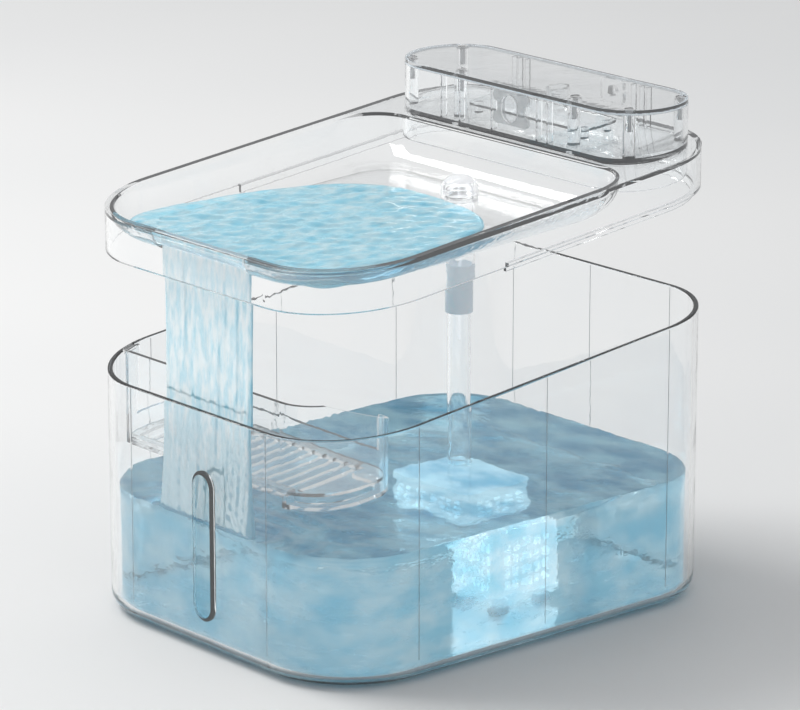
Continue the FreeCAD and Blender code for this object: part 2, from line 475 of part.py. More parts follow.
def capsule(sketch, x, low, high, radius):
    """An upright slot with round ends, centred on x, whose arcs are centred on low and high."""
    cx, y0, y1, r = (amount(name) for name in (x, low, high, radius))
    top = Part.ArcOfCircle(Part.Circle(Vector(cx, y1, 0), Z_AXIS, r), 0, math.pi)
    bottom = Part.ArcOfCircle(Part.Circle(Vector(cx, y0, 0), Z_AXIS, r), math.pi, 2 * math.pi)
    ids = lay_out(sketch, [
        Part.LineSegment(Vector(cx + r, y0, 0), Vector(cx + r, y1, 0)), top,
        Part.LineSegment(Vector(cx - r, y1, 0), Vector(cx - r, y0, 0)), bottom,
    ])
    for this, following in zip(ids, ids[1:] + ids[:1]):
        sketch.addConstraint(Sketcher.Constraint("Tangent", this, 2, following, 1))
    for which, y in ((1, high), (3, low)):
        datum(sketch, "DistanceX", x, -1, 1, ids[which], 3)
        datum(sketch, "DistanceY", y, -1, 1, ids[which], 3)
        datum(sketch, "Radius", radius, ids[which])


def circle(sketch, x, y, radius):
    """A circle centred on two aliases."""
    which = sketch.addGeometry(Part.Circle(Vector(amount(x), amount(y), 0), Z_AXIS, amount(radius)), False)
    datum(sketch, "DistanceX", x, -1, 1, which, 3)
    datum(sketch, "DistanceY", y, -1, 1, which, 3)
    datum(sketch, "Radius", radius, which)


def basket_outline(sketch, left, arc_radius, front, back, right, corner_front, corner_back):
    """The filter tray's plan: its left end follows the tank's round front corner."""
    cx, cy = amount("arc_centre_x"), amount("arc_centre_y")
    x0, r, y0, y1, x1 = (amount(name) for name in (left, arc_radius, front, back, right))
    rf, rb = amount(corner_front), amount(corner_back)
    start = Vector(cx - math.sqrt(r * r - (y0 - cy) ** 2), y0, 0)
    ring = Part.Circle(Vector(cx, cy, 0), Z_AXIS, r)
    first = math.atan2(start.y - cy, start.x - cx) + 2 * math.pi
    ids = lay_out(sketch, [
        Part.LineSegment(start, Vector(x1 - rf, y0, 0)),
        Part.ArcOfCircle(Part.Circle(Vector(x1 - rf, y0 + rf, 0), Z_AXIS, rf), -math.pi / 2, 0),
        Part.LineSegment(Vector(x1, y0 + rf, 0), Vector(x1, y1 - rb, 0)),
        Part.ArcOfCircle(Part.Circle(Vector(x1 - rb, y1 - rb, 0), Z_AXIS, rb), 0, math.pi / 2),
        Part.LineSegment(Vector(x1 - rb, y1, 0), Vector(x0, y1, 0)),
        Part.LineSegment(Vector(x0, y1, 0), Vector(x0, cy, 0)),
        Part.ArcOfCircle(ring, math.pi, first),
    ])
    for this, following in ((0, 1), (1, 2), (2, 3), (3, 4), (5, 6)):
        sketch.addConstraint(Sketcher.Constraint("Tangent", ids[this], 2, ids[following], 1))
    sketch.addConstraint(Sketcher.Constraint("Coincident", ids[4], 2, ids[5], 1))
    sketch.addConstraint(Sketcher.Constraint("Coincident", ids[6], 2, ids[0], 1))
    for kind, which in (("Horizontal", 0), ("Vertical", 2), ("Horizontal", 4), ("Vertical", 5)):
        sketch.addConstraint(Sketcher.Constraint(kind, ids[which]))
    datum(sketch, "Radius", corner_front, ids[1])
    datum(sketch, "Radius", corner_back, ids[3])
    datum(sketch, "Radius", arc_radius, ids[6])
    datum(sketch, "DistanceY", "arc_centre_y", -1, 1, ids[6], 3)
    datum(sketch, "DistanceX", left, -1, 1, ids[5], 1)
    datum(sketch, "DistanceY", front, -1, 1, ids[0], 1)
    datum(sketch, "DistanceY", back, -1, 1, ids[4], 1)
    datum(sketch, "DistanceX", right, -1, 1, ids[2], 1)


# Bodies: sketches on a body's own origin planes, pads and pockets

def new_body(label):
    body = doc.addObject("PartDesign::Body", label)
    body.Label = label
    return body


def sketch_on(body, role, height=None):
    """A sketch on one of the body's origin planes, raised along the plane's normal."""
    plane = next(item for item in body.Origin.OriginFeatures if item.Role == role)
    sketch = body.newObject("Sketcher::SketchObject", "outline")
    sketch.AttachmentSupport = [(plane, "")]
    sketch.MapMode = "FlatFace"
    if height:
        sketch.setExpression("AttachmentOffset.Base.z", cell(height))
    return sketch


def pad(body, sketch, length, inwards=False):
    """Raise a sketch along its normal, or against it when it is sent inwards."""
    feature = body.newObject("PartDesign::Pad", "pad")
    feature.Profile = sketch
    feature.Reversed = inwards
    feature.setExpression("Length", cell(length))
    doc.recompute()
    return feature


def pocket(body, sketch, length, both_ways=False, upwards=False):
    """Cut a sketch into the body; it goes against the sketch's normal unless it is sent upwards."""
    before = body.Shape.Volume
    feature = body.newObject("PartDesign::Pocket", "pocket")
    feature.Profile = sketch
    feature.SideType = "Symmetric" if both_ways else "One side"
    feature.Reversed = upwards
    feature.setExpression("Length", cell(length))
    doc.recompute()
    if not body.Shape.Volume < before:
        raise RuntimeError(f"a pocket in {body.Label} cuts nothing")
    return feature


def round_edges(body, radius, wanted):
    """Fillet the edges of the tip that the test picks."""
    tip = body.Tip
    names = [f"Edge{i}" for i, edge in enumerate(tip.Shape.Edges, start=1) if wanted(edge)]
    feature = body.newObject("PartDesign::Fillet", "fillet")
    feature.Base = (tip, names)
    feature.setExpression("Radius", cell(radius))
    doc.recompute()
    return feature


def grid_of(body, hole, run, count):
    """Repeat a pocket along a sketch axis and along the second sketch axis."""
    pattern = body.newObject("PartDesign::LinearPattern", "grid")
    pattern.Originals = [hole]
    pattern.Direction = (hole.Profile[0], ["H_Axis"])
    pattern.Direction2 = (hole.Profile[0], ["V_Axis"])
    pattern.setExpression("Length", cell(run))
    pattern.setExpression("Occurrences", cell(count))
    pattern.setExpression("Length2", cell("grid_run_z"))
    pattern.setExpression("Occurrences2", cell("grid_rows"))
    body.Tip = pattern
    doc.recompute()
    return pattern


# Free-standing solids and booleans

def bind(item, **links):
    """Tie properties of an object to cells: Base_z stands for Placement.Base.z."""
    for prop, name in links.items():
        path = f"Placement.Base.{prop[-1]}" if prop.startswith("Base_") else prop
        item.setExpression(path, cell(name))
    return item


def cylinder(radius, height, x, y, z):
    item = doc.addObject("Part::Cylinder", "cylinder")
    return bind(item, Radius=radius, Height=height, Base_x=x, Base_y=y, Base_z=z)


def prism(draw, low, height):
    """Extrude a plan sketch straight up from a height."""
    sketch = doc.addObject("Sketcher::SketchObject", "plan")
    draw(sketch)
    bind(sketch, Base_z=low)
    return extrude(sketch, Z_AXIS, height, False)


def side_prism(corners, start=None, toward=None):
    """Extrude a side view, given as Y and Z pairs: across the object, or from one X to one side."""
    sketch = doc.addObject("Sketcher::SketchObject", "side")
    polygon(sketch, corners)
    sketch.Placement = FreeCAD.Placement(Vector(), FreeCAD.Rotation(Y_AXIS, Z_AXIS, X_AXIS, "ZXY"))
    if start:
        bind(sketch, Base_x=start)
    return extrude(sketch, toward or X_AXIS, "far", start is None)


def extrude(sketch, direction, length, both_ways):
    solid = doc.addObject("Part::Extrusion", "extrusion")
    solid.Base = sketch
    solid.Dir = direction
    solid.DirMode = "Custom"
    solid.Solid = True
    solid.Symmetric = both_ways
    solid.setExpression("LengthFwd", cell(length))
    return solid


def join(kind, label, *items):
    """A boolean of two or more objects: MultiFuse, MultiCommon, Cut or Compound."""
    result = doc.addObject(f"Part::{kind}", label)
    result.Label = label
    if kind == "Cut":
        result.Base = items[0]
        result.Tool = items[1] if len(items) == 2 else join("MultiFuse", f"{label}_cuts", *items[1:])
    elif kind == "Compound":
        result.Links = list(items)
    else:
        result.Shapes = list(items)
    doc.recompute()
    return result


def layer(low, high):
    """Everything between two planes that slope with the rim, named by their heights at mid depth."""
    return side_prism([("-far", f"{low}_front"), ("far", f"{low}_back"),
                       ("far", f"{high}_back"), ("-far", f"{high}_front")])


def box(left, right, front, back, low, high):
    """A box between pairs of aliases along each axis."""
    item = doc.addObject("Part::Box", "box")
    bind(item, Base_x=left, Base_y=front, Base_z=low)
    for prop, end, begin in (("Length", right, left), ("Width", back, front), ("Height", high, low)):
        item.setExpression(prop, f"{cell(end)} - ({cell(begin)})")
    return item


def ring_section(height, tilt, *outline):
    """A rounded outline that is laid flat at a height and tilted up towards the back."""
    sketch = doc.addObject("Sketcher::SketchObject", "section")
    rounded(sketch, *outline)
    sketch.Placement = FreeCAD.Placement(Vector(), FreeCAD.Rotation(X_AXIS, amount(tilt)))
    bind(sketch, Base_z=height)
    sketch.setExpression("Placement.Rotation.Angle", cell(tilt))
    return sketch


def loft(sections):
    item = doc.addObject("Part::Loft", "loft")
    item.Sections = sections
    item.Solid = True
    item.Ruled = False
    return item


# The tank and what is fixed to it

TANK_OUTLINE = ("-half_width", "half_width", "front", "back", "corner_front", "corner_back")
TANK_INSIDE = ("-inner_half", "inner_half", "inner_front", "inner_back",
               "inner_corner_front", "inner_corner_back")
FEET = [(x, y) for x in ("-foot_x", "foot_x") for y in ("-foot_y", "foot_y")]
TOUCH = 0.01


def on_rim(edge):
    """True for an edge that lies in the rim's sloping plane."""
    points = [edge.valueAt(t) for t in (edge.FirstParameter, edge.LastParameter)]
    return all(abs(p.z - amount("rim_mid") - amount("slope") * p.y) < TOUCH for p in points)


def level_edge(height):
    """A test for edges that lie flat at a height."""
    def flat(edge):
        box_of_edge = edge.BoundBox
        return max(abs(box_of_edge.ZMin - amount(height)), abs(box_of_edge.ZMax - amount(height))) < TOUCH

    return flat


def tank():
    """An open tank with a sloping rim, a round bottom edge, a window slot and a notch for the hook."""
    body = new_body("tank")
    blank = sketch_on(body, "XY_Plane", "foot_drop")
    rounded(blank, *TANK_OUTLINE)
    pad(body, blank, "blank_height")
    round_edges(body, "base_round", level_edge("foot_drop"))
    slope_cut = sketch_on(body, "YZ_Plane")
    polygon(slope_cut, [("-far", "rim_mid_front"), ("far", "rim_mid_back"), ("far", "sky"), ("-far", "sky")])
    pocket(body, slope_cut, "far", both_ways=True)
    inside = sketch_on(body, "XY_Plane", "tank_floor")
    rounded(inside, *TANK_INSIDE)
    pocket(body, inside, "sky", upwards=True)
    round_edges(body, "inner_round", level_edge("tank_floor"))
    round_edges(body, "rim_round", on_rim)
    notch = sketch_on(body, "YZ_Plane")
    polygon(notch, [("filter_front", "notch_low"), ("notch_back", "notch_high"),
                    ("notch_back", "sky"), ("filter_front", "sky")])
    pocket(body, notch, "far")
    slot = sketch_on(body, "XZ_Plane", "window_reach")
    capsule(slot, "window_offset", "window_low", "window_high", "window_radius")
    pocket(body, slot, "window_cut")
    recesses = sketch_on(body, "XY_Plane", "foot_drop")
    for x, y in FEET:
        circle(recesses, x, y, "foot_hole")
    pocket(body, recesses, "foot_recess", upwards=True)
    return body


def level_window():
    """The capsule-shaped window: a plug flush with the front and a lip inside the tank."""
    body = new_body("level_window")
    for height, radius, depth in (("back", "window_plug", "window_depth"),
                                  ("inner_back", "window_flange", "window_lip_thickness")):
        outline = sketch_on(body, "XZ_Plane", height)
        capsule(outline, "window_offset", "window_low", "window_high", radius)
        pad(body, outline, depth, inwards=True)
    return body


def foot_pads():
    """Four soft pads, half sunk in the tank's underside."""
    pads = [cylinder("foot_radius", "foot_height", x, y, "ground") for x, y in FEET]
    return join("Compound", "foot_pads", *pads)


# The pump

PLATE = ("pump_left", "pump_right", "pump_front", "pump_back", "pump_corner", "pump_corner")
CUPS = [(x, y) for x in ("cup_left", "cup_right") for y in ("cup_front", "cup_rear")]


def pump_base():
    """The plate that the motor stands on and the cover closes against."""
    body = new_body("pump_base")
    outline = sketch_on(body, "XY_Plane", "plate_bottom")
    rounded(outline, *PLATE)
    pad(body, outline, "plate_thickness")
    return body


def suction_cups():
    """Four hollow rubber cups under the plate."""
    cups = []
    for x, y in CUPS:
        solids = []
        for wide, narrow, height in (("cup_radius", "cup_waist", "cup_height"),
                                     ("cup_hollow", "cup_waist_hollow", "cup_hollow_height")):
            cone = doc.addObject("Part::Cone", "cone")
            solids.append(bind(cone, Radius1=wide, Radius2=narrow, Height=height,
                               Base_x=x, Base_y=y, Base_z="tank_floor"))
        cups.append(join("Cut", "cup", *solids))
    return join("Compound", "suction_cups", *cups)


def motor_block():
    """The sealed stator block, with the round well that the rotor turns in."""
    body = new_body("motor_block")
    outline = sketch_on(body, "XY_Plane", "plate_top")
    rounded(outline, "motor_left", "motor_right", "motor_front", "motor_back", "motor_corner", "motor_corner")
    pad(body, outline, "motor_height")
    for radius, depth in (("well_radius", "well_depth"), ("shaft_radius", "shaft_hole_depth")):
        hole = sketch_on(body, "XY_Plane", "motor_top")
        circle(hole, "motor_x", "motor_y", radius)
        pocket(body, hole, depth)
    return body


def volute():
    """The impeller chamber, whose duct leads to the spigot that carries the riser."""
    start = Vector(amount("motor_x"), amount("motor_y"), amount("duct_height"))
    finish = Vector(amount("riser_offset_x"), amount("riser_offset_y"), amount("duct_height"))

    def duct(radius):
        item = doc.addObject("Part::Cylinder", "duct")
        bind(item, Radius=radius)
        item.Height = (finish - start).Length
        item.Placement = FreeCAD.Placement(start, FreeCAD.Rotation(Z_AXIS, finish - start))
        return item

    outside = join("MultiFuse", "volute_outside",
                   cylinder("volute_radius", "volute_height", "motor_x", "motor_y", "motor_top"),
                   duct("duct_outer"),
                   cylinder("riser_bore", "spigot_height", "riser_offset_x", "riser_offset_y", "motor_top"))
    return join("Cut", "volute", outside,
                cylinder("chamber_radius", "chamber_height", "motor_x", "motor_y", "motor_top"),
                cylinder("inlet_radius", "volute_height", "motor_x", "motor_y", "motor_top"),
                duct("duct_inner"),
                cylinder("duct_bore", "spigot_bore_height", "riser_offset_x", "riser_offset_y", "duct_height"))


def impeller_shaft():
    """The ceramic shaft, seated in the bottom of the rotor's well."""
    shaft = cylinder("shaft_radius", "shaft_length", "motor_x", "motor_y", "shaft_bottom")
    return join("Compound", "impeller_shaft", shaft)


def rotor_magnet():
    """The ring magnet that carries the impeller."""
    return join("Cut", "rotor_magnet",
                cylinder("rotor_radius", "rotor_length", "motor_x", "motor_y", "rotor_bottom"),
                cylinder("bearing_radius", "rotor_length", "motor_x", "motor_y", "rotor_bottom"))


def impeller():
    """A disc with a hub and straight blades, drawn about its own axis and then put in place."""
    body = new_body("impeller")
    bind(body, Base_x="motor_x", Base_y="motor_y", Base_z="hub_bottom")
    for radius, height in (("blade_radius", "disc_thickness"), ("hub_radius", "hub_height")):
        disc = sketch_on(body, "XY_Plane")
        circle(disc, "riser_offset_x", "riser_offset_x", radius)
        pad(body, disc, height)
    blade_outline = sketch_on(body, "XY_Plane", "disc_thickness")
    polygon(blade_outline, [("bearing_radius", "-blade_half"), ("blade_radius_in", "-blade_half"),
                            ("blade_radius_in", "blade_half"), ("bearing_radius", "blade_half")])
    blade = pad(body, blade_outline, "blade_height")
    pattern = body.newObject("PartDesign::PolarPattern", "blades")
    pattern.Originals = [blade]
    pattern.Axis = (blade_outline, ["N_Axis"])
    pattern.setExpression("Occurrences", cell("blade_count"))
    body.Tip = pattern
    doc.recompute()
    bore = sketch_on(body, "XY_Plane", "hub_height")
    circle(bore, "riser_offset_x", "riser_offset_x", "bearing_radius")
    pocket(body, bore, "hub_height")
    return body


def inlet_sponge():
    """The coarse foam block beside the motor."""
    body = new_body("inlet_sponge")
    outline = sketch_on(body, "XY_Plane", "plate_top")
    rounded(outline, "sponge_left", "sponge_right", "sponge_front", "sponge_back",
            "sponge_corner", "sponge_corner")
    pad(body, outline, "sponge_height")
    return body


def pump_cover():
    """The lift-off cover: a thick top slab over walls that are a grid of square inlet holes."""
    body = new_body("pump_cover")
    walls = sketch_on(body, "XY_Plane", "plate_top")
    rounded(walls, "cover_left", "cover_right", "cover_front", "cover_back", "cover_corner", "cover_corner")
    pad(body, walls, "skirting_height")
    slab = sketch_on(body, "XY_Plane", "slab_bottom")
    rounded(slab, *PLATE)
    pad(body, slab, "slab_height")
    cavity = sketch_on(body, "XY_Plane", "plate_top")
    rounded(cavity, "cavity_left", "cavity_right", "cavity_front", "cavity_back",
            "cavity_corner", "cavity_corner")
    pocket(body, cavity, "cavity_height", upwards=True)
    riser_hole = sketch_on(body, "XY_Plane", "cover_top")
    circle(riser_hole, "riser_offset_x", "riser_offset_y", "riser_hole")
    pocket(body, riser_hole, "slab_height")
    for plane, low, high, run, count in (
            ("XZ_Plane", "grid_left", "grid_right", "grid_run_x", "grid_columns"),
            ("YZ_Plane", "grid_front", "grid_back", "grid_run_y", "grid_columns_side")):
        hole = sketch_on(body, plane)
        polygon(hole, [(low, "grid_low"), (high, "grid_low"), (high, "grid_high"), (low, "grid_high")])
        first = pocket(body, hole, "far", both_ways=True)
        grid_of(body, first, run, count)
    return body


def riser_tube():
    """The clear tube that stands on the pump's spigot and guides the drinking tray."""
    return join("Cut", "riser_tube", *[
        cylinder(radius, "riser_length", "riser_offset_x", "riser_offset_y", "riser_bottom")
        for radius in ("riser_radius", "riser_bore")])


# The filter tray

def basket(prefix):
    """A tall prism on the filter tray's plan, one wall or ledge further in for each prefix."""
    names = {
        "filter": ("filter_left", "filter_arc", "filter_front", "filter_back", "filter_right",
                   "filter_corner_front", "filter_corner_back"),
    }.get(prefix) or tuple(f"{prefix}_{part}" for part in
                           ("left", "arc", "front", "back", "right", "corner_front", "corner_back"))
    return prism(lambda sketch: basket_outline(sketch, *names), "tank_floor", "tray_height")


def filter_tray():
    """A basket that hooks over the rim: a tall front wall, a low back and a deeper well at one end."""
    shell = join("MultiCommon", "basket_shell", basket("filter"), layer("well_mid", "tray_top_mid"))
    inside = join("MultiCommon", "basket_inside", basket("filter_in"), layer("shallow_floor_mid", "sky_mid"))
    well = join("MultiCommon", "basket_well", basket("filter_in"), layer("well_floor_mid", "sky_mid"),
                side_prism([("-far", "ground"), ("far", "ground"), ("far", "sky"), ("-far", "sky")],
                           "well_start"))
    underside = side_prism([("-far", "-far"), ("far", "-far"), ("far", "shallow_mid_back"),
                            ("-far", "shallow_mid_front")], "filter_well_left", -X_AXIS)
    low_back = side_prism([("post_back", "low_wall_post"), ("far", "low_wall_mid_back"),
                           ("far", "sky"), ("post_back", "sky")], "side_start", -X_AXIS)
    side_fall = side_prism([("post_back", "post_top"), ("filter_back", "side_low"), ("far", "side_low"),
                            ("far", "sky"), ("post_back", "sky")])
    bowl = join("Cut", "basket_bowl", shell, inside, well, underside, low_back, side_fall, basket("opening"))
    ring = join("Cut", "hook_ring",
                cylinder("hook_arc", "tray_height", "arc_centre_x", "arc_centre_y", "ground"),
                cylinder("filter_in_arc", "tray_height", "arc_centre_x", "arc_centre_y", "ground"))
    hook = join("MultiCommon", "hook", ring, layer("hook_low_mid", "hook_high_mid"),
                side_prism([("hook_front", "ground"), ("hook_back", "ground"), ("hook_back", "sky"),
                            ("hook_front", "sky")], "arc_centre_x", -X_AXIS))
    return join("MultiFuse", "filter_tray", bowl, hook)


def filter_grille():
    """The slatted plate that lies on the filter tray's ledge."""
    plate = join("MultiCommon", "grille_plate", basket("grille"), layer("grille_mid", "grille_top_mid"))
    slots = []
    for i in range(round(amount("slat_count"))):
        slot = doc.addObject("Part::Box", "slot")
        bind(slot, Length="slat_slot", Width="slat_length", Height="sky", Base_y="slat_front")
        slot.setExpression("Placement.Base.x",
                           f"Sizes.slat_left + {i} * Sizes.slat_pitch - Sizes.slat_slot / 2")
        slots.append(slot)
    return join("Cut", "filter_grille", plate, *slots)


# The drinking tray and its pod

def rounded_prism(*outline):
    """A tall prism on a rounded outline."""
    return prism(lambda sketch: rounded(sketch, *outline), "ground", "sky")


def dish(side):
    """The dish's inside, or its outside one wall further out, lofted through four tilted outlines."""
    return loft([
        ring_section(f"bowl_height_{i}{side}", f"bowl_tilt_{i}",
                     f"-bowl_half_{i}{side}", f"bowl_half_{i}{side}",
                     f"bowl_front_{i}{side}", f"bowl_back_{i}{side}",
                     f"bowl_corner_{i}{side}", f"bowl_rear_corner_{i}{side}")
        for i in range(4)])


def drinking_tray():
    """A skirted deck, as wide as the tank, with a coved dish in front and a flat deck behind."""
    block = join("MultiCommon", "tray_block", rounded_prism(*TANK_OUTLINE), layer("skirt_mid", "deck_mid"))
    hollow = join("MultiCommon", "tray_hollow",
                  rounded_prism("-skirt_in_half", "skirt_in_half", "skirt_in_front", "skirt_in_back",
                                "skirt_in_corner_front", "skirt_in_corner_back"),
                  layer("ground_mid", "hollow_mid"))
    lip_inside = rounded_prism("-lip_in_half", "lip_in_half", "inner_front", "lip_in_back",
                               "lip_in_corner", "lip_in_corner")
    behind = side_prism([("lip_front", "ground"), ("far", "ground"), ("far", "sky"), ("lip_front", "sky")])
    rings = [
        join("MultiCommon", "lip_ring", rounded_prism(*outline), layer(low, "lip_top_mid"), behind)
        for outline, low in (
            (("-lip_half", "lip_half", "inner_front", "lip_back", "lip_corner", "lip_corner"), "lip_mid"),
            (("-lip_root_half", "lip_root_half", "inner_front", "lip_root_back",
              "lip_root_corner", "lip_root_corner"), "skirt_mid"))]
    lip = join("Cut", "lip", join("MultiFuse", "lip_rings", *rings), lip_inside)
    well_ring = join("Cut", "well_ring",
                     join("MultiCommon", "well_block", rounded_prism(*POD),
                          layer("well_ring_mid", "well_ring_top_mid")),
                     rounded_prism(*POD_INSIDE))
    cap = join("Cut", "tray_cap", block, hollow)
    shell = join("MultiFuse", "tray_shell", cap, lip, well_ring, dish("_out"))
    return join("Cut", "drinking_tray", shell, dish(""),
                box("-spill_half_width", "spill_half_width", "spill_front", "spill_back",
                    "boot_top", "spill_top"),
                cylinder("spigot_hole", "hole_height", "riser_offset_x", "riser_offset_y", "hole_low"))


def dish_spigot():
    """The rigid tube that drops from the dish, with a flange under its floor."""
    where = ("riser_offset_x", "riser_offset_y")
    outside = join("MultiFuse", "spigot_outside",
                   cylinder("boot_radius", "spigot_length", *where, "boot_top"),
                   cylinder("flange_radius", "flange_thickness", *where, "flange_bottom"))
    return join("Cut", "dish_spigot", outside, cylinder("spigot_bore", "spigot_length", *where, "boot_top"))


def riser_boot():
    """The soft sleeve on the spigot's end, which slides on the riser."""
    return join("Cut", "riser_boot", *[
        cylinder(radius, "boot_length", "riser_offset_x", "riser_offset_y", "boot_bottom")
        for radius in ("boot_radius", "boot_bore")])


def sphere(radius, x, y, z):
    item = doc.addObject("Part::Sphere", "sphere")
    return bind(item, Radius=radius, Base_x=x, Base_y=y, Base_z=z)


def spout_nozzle():
    """The domed cap over the spigot, with a port towards the front of the dish."""
    where = ("riser_offset_x", "riser_offset_y")
    port = doc.addObject("Part::Cylinder", "port")
    port.Placement = FreeCAD.Placement(Vector(), FreeCAD.Rotation(X_AXIS, 90))
    bind(port, Radius="nozzle_port", Height="skirt_height", Base_x="riser_offset_x", Base_y="riser_offset_y",
         Base_z="nozzle_port_height")
    dome = join("MultiCommon", "dome", cylinder("nozzle_radius", "nozzle_dome", *where, "nozzle_bottom"),
                sphere("nozzle_dome", *where, "nozzle_bottom"))
    cavity = cylinder("nozzle_bore", "nozzle_cavity", *where, "nozzle_bottom")
    return join("Cut", "spout_nozzle", dome, cavity, port)


def nozzle_stem():
    """The thin flow stem that hangs from the nozzle down the riser."""
    where = ("riser_offset_x", "riser_offset_y")
    return join("MultiFuse", "nozzle_stem", cylinder("stem_radius", "stem_length", *where, "stem_start"),
                sphere("stem_radius", *where, "stem_start"))


POD = ("-pod_half_width", "pod_half_width", "pod_front", "pod_back", "pod_corner", "pod_corner")
POD_INSIDE = ("-pod_in_half", "pod_in_half", "pod_in_front", "pod_in_back", "pod_in_corner", "pod_in_corner")
BOSSES = [(x, "boss_front", "front") for x in ("-boss_outer", "-boss_inner", "boss_inner", "boss_outer")]
BOSSES += [(x, "boss_back", "back") for x in ("-boss_outer", "boss_outer")]


def front_capsule(radius, front, back):
    """A capsule prism through the pod's front wall, between two places along Y."""
    sketch = doc.addObject("Sketcher::SketchObject", "sensor_outline")
    capsule(sketch, "sensor_x", "sensor_low", "sensor_high", radius)
    sketch.Placement = FreeCAD.Placement(Vector(), FreeCAD.Rotation(X_AXIS, Z_AXIS, -Y_AXIS, "ZXY"))
    bind(sketch, Base_y=front)
    solid = extrude(sketch, Y_AXIS, "pod_wall", False)
    solid.setExpression("LengthFwd", f"{cell(back)} - {cell(front)}")
    return solid


def port_pad():
    """The rounded pad round the cable port, on the inside of the pod's back wall."""
    sketch = doc.addObject("Sketcher::SketchObject", "port_outline")
    rounded(sketch, "port_left", "port_right", "port_low", "port_high", "port_corner", "port_corner")
    sketch.Placement = FreeCAD.Placement(Vector(), FreeCAD.Rotation(X_AXIS, Z_AXIS, -Y_AXIS, "ZXY"))
    bind(sketch, Base_y="port_front")
    return extrude(sketch, Y_AXIS, "port_reach", False)


def pod_housing():
    """The long round-ended box on the deck: walls, floor, screw bosses, posts, ribs and cable port."""
    outside = join("MultiCommon", "pod_outside", rounded_prism(*POD), layer("pod_floor_mid", "pod_crown"))
    inside = join("MultiCommon", "pod_inside", rounded_prism(*POD_INSIDE),
                  layer("pod_floor_top_mid", "sky_mid"))
    walls = join("Cut", "pod_walls", outside, inside)
    bosses = [cylinder("boss_radius", "sky", x, y, "ground") for x, y, _ in BOSSES]
    inner_parts = [join("MultiCommon", "boss_columns", join("MultiFuse", "boss_set", *bosses),
                        layer("pod_floor_mid", "pod_crown"))]
    posts = [cylinder("post_radius", "sky", x, y, "ground")
             for x in ("-post_x", "post_x") for y in ("post_front", "post_rear")]
    inner_parts.append(join("MultiCommon", "post_columns", join("MultiFuse", "post_set", *posts),
                            layer("pod_floor_mid", "board_floor_mid")))
    ribs = []
    for wall, letters in (("front", "abcde"), ("back", "abcdef")):
        for letter in letters:
            rib = doc.addObject("Part::Box", "rib")
            ribs.append(bind(rib, Length="rib_thickness", Width="rib_length", Height="sky",
                             Base_x=f"{wall}_rib_{letter}", Base_y=f"{wall}_rib_start"))
    inner_parts.append(join("MultiCommon", "rib_columns", join("MultiFuse", "rib_set", *ribs),
                            layer("pod_floor_mid", "pod_crown")))
    inner_parts.append(join("MultiCommon", "round_cup",
                            join("Cut", "cup_ring", cylinder("cup_outer", "sky", "cup_x", "cup_y", "ground"),
                                 cylinder("cup_inner", "sky", "cup_x", "cup_y", "ground")),
                            layer("pod_floor_mid", "cup_floor_mid")))
    inner_parts.append(port_pad())
    whole = join("MultiFuse", "pod_whole", walls, *inner_parts)
    bores = [cylinder("boss_bore", "screw_length", x, y, f"shank_{row}") for x, y, row in BOSSES]
    port = doc.addObject("Part::Cylinder", "port_hole")
    port.Placement = FreeCAD.Placement(Vector(), FreeCAD.Rotation(X_AXIS, -90))
    bind(port, Radius="port_radius", Height="port_reach", Base_x="port_x", Base_y="port_front",
         Base_z="port_height")
    return join("Cut", "pod_housing", whole, port,
                front_capsule("sensor_half_width", "pod_front", "pod_in_front"), *bores)


def sensor_lens():
    """The oval lens that fills the hole in the pod's front wall."""
    lens = front_capsule("sensor_plug", "pod_front", "lens_back")
    return join("Compound", "sensor_lens", lens)


def sensor_bezel():
    """The frame behind the lens: a plate with a round lobe on each corner."""
    sketch = doc.addObject("Sketcher::SketchObject", "bezel_plate")
    polygon(sketch, [("bezel_x_left", "bezel_low"), ("bezel_x_right", "bezel_low"),
                     ("bezel_x_right", "bezel_high"), ("bezel_x_left", "bezel_high")])
    lobes = []
    for x in ("bezel_x_left", "bezel_x_right"):
        for z in ("bezel_z_low", "bezel_z_high"):
            lobe = doc.addObject("Part::Cylinder", "lobe")
            lobe.Placement = FreeCAD.Placement(Vector(), FreeCAD.Rotation(X_AXIS, -90))
            lobes.append(bind(lobe, Radius="bezel_lobe", Height="bezel_thickness", Base_x=x,
                              Base_y="pod_in_front", Base_z=z))
    sketch.Placement = FreeCAD.Placement(Vector(), FreeCAD.Rotation(X_AXIS, Z_AXIS, -Y_AXIS, "ZXY"))
    bind(sketch, Base_y="pod_in_front")
    plate = extrude(sketch, Y_AXIS, "bezel_thickness", False)
    return join("Cut", "sensor_bezel", join("MultiFuse", "bezel_solid", plate, *lobes),
                front_capsule("sensor_half_width", "pod_front", "bezel_cut"))


def pod_gasket():
    """The soft seal between the pod's walls and its lid."""
    return join("MultiCommon", "pod_gasket", layer("pod_crown", "gasket_crown"),
                join("Cut", "gasket_ring",
                     rounded_prism("-gasket_half", "gasket_half", "gasket_front", "gasket_back",
                                   "gasket_corner", "gasket_corner"),
                     rounded_prism("-gasket_in_half", "gasket_in_half", "gasket_in_front", "gasket_in_back",
                                   "gasket_in_corner", "gasket_in_corner")))


def pod_lid():
    """The thin lid of the pod, with sunk screw holes."""
    plate = join("MultiCommon", "lid_plate", rounded_prism(*POD), layer("gasket_crown", "lid_crown"))
    holes = [cylinder("boss_bore", "sky", x, y, "ground") for x, y, _ in BOSSES]
    sinks = [cylinder("sink_radius", "sky", x, y, f"head_{row}") for x, y, row in BOSSES]
    return join("Cut", "pod_lid", plate, *holes, *sinks)


def pod_screws():
    """Six screws that hold the lid down."""
    screws = [
        join("MultiFuse", "screw",
             cylinder("screw_radius", "screw_length", x, y, f"shank_{row}"),
             cylinder("screw_head", "screw_head_height", x, y, f"head_{row}"))
        for x, y, row in BOSSES]
    return join("Compound", "pod_screws", *screws)


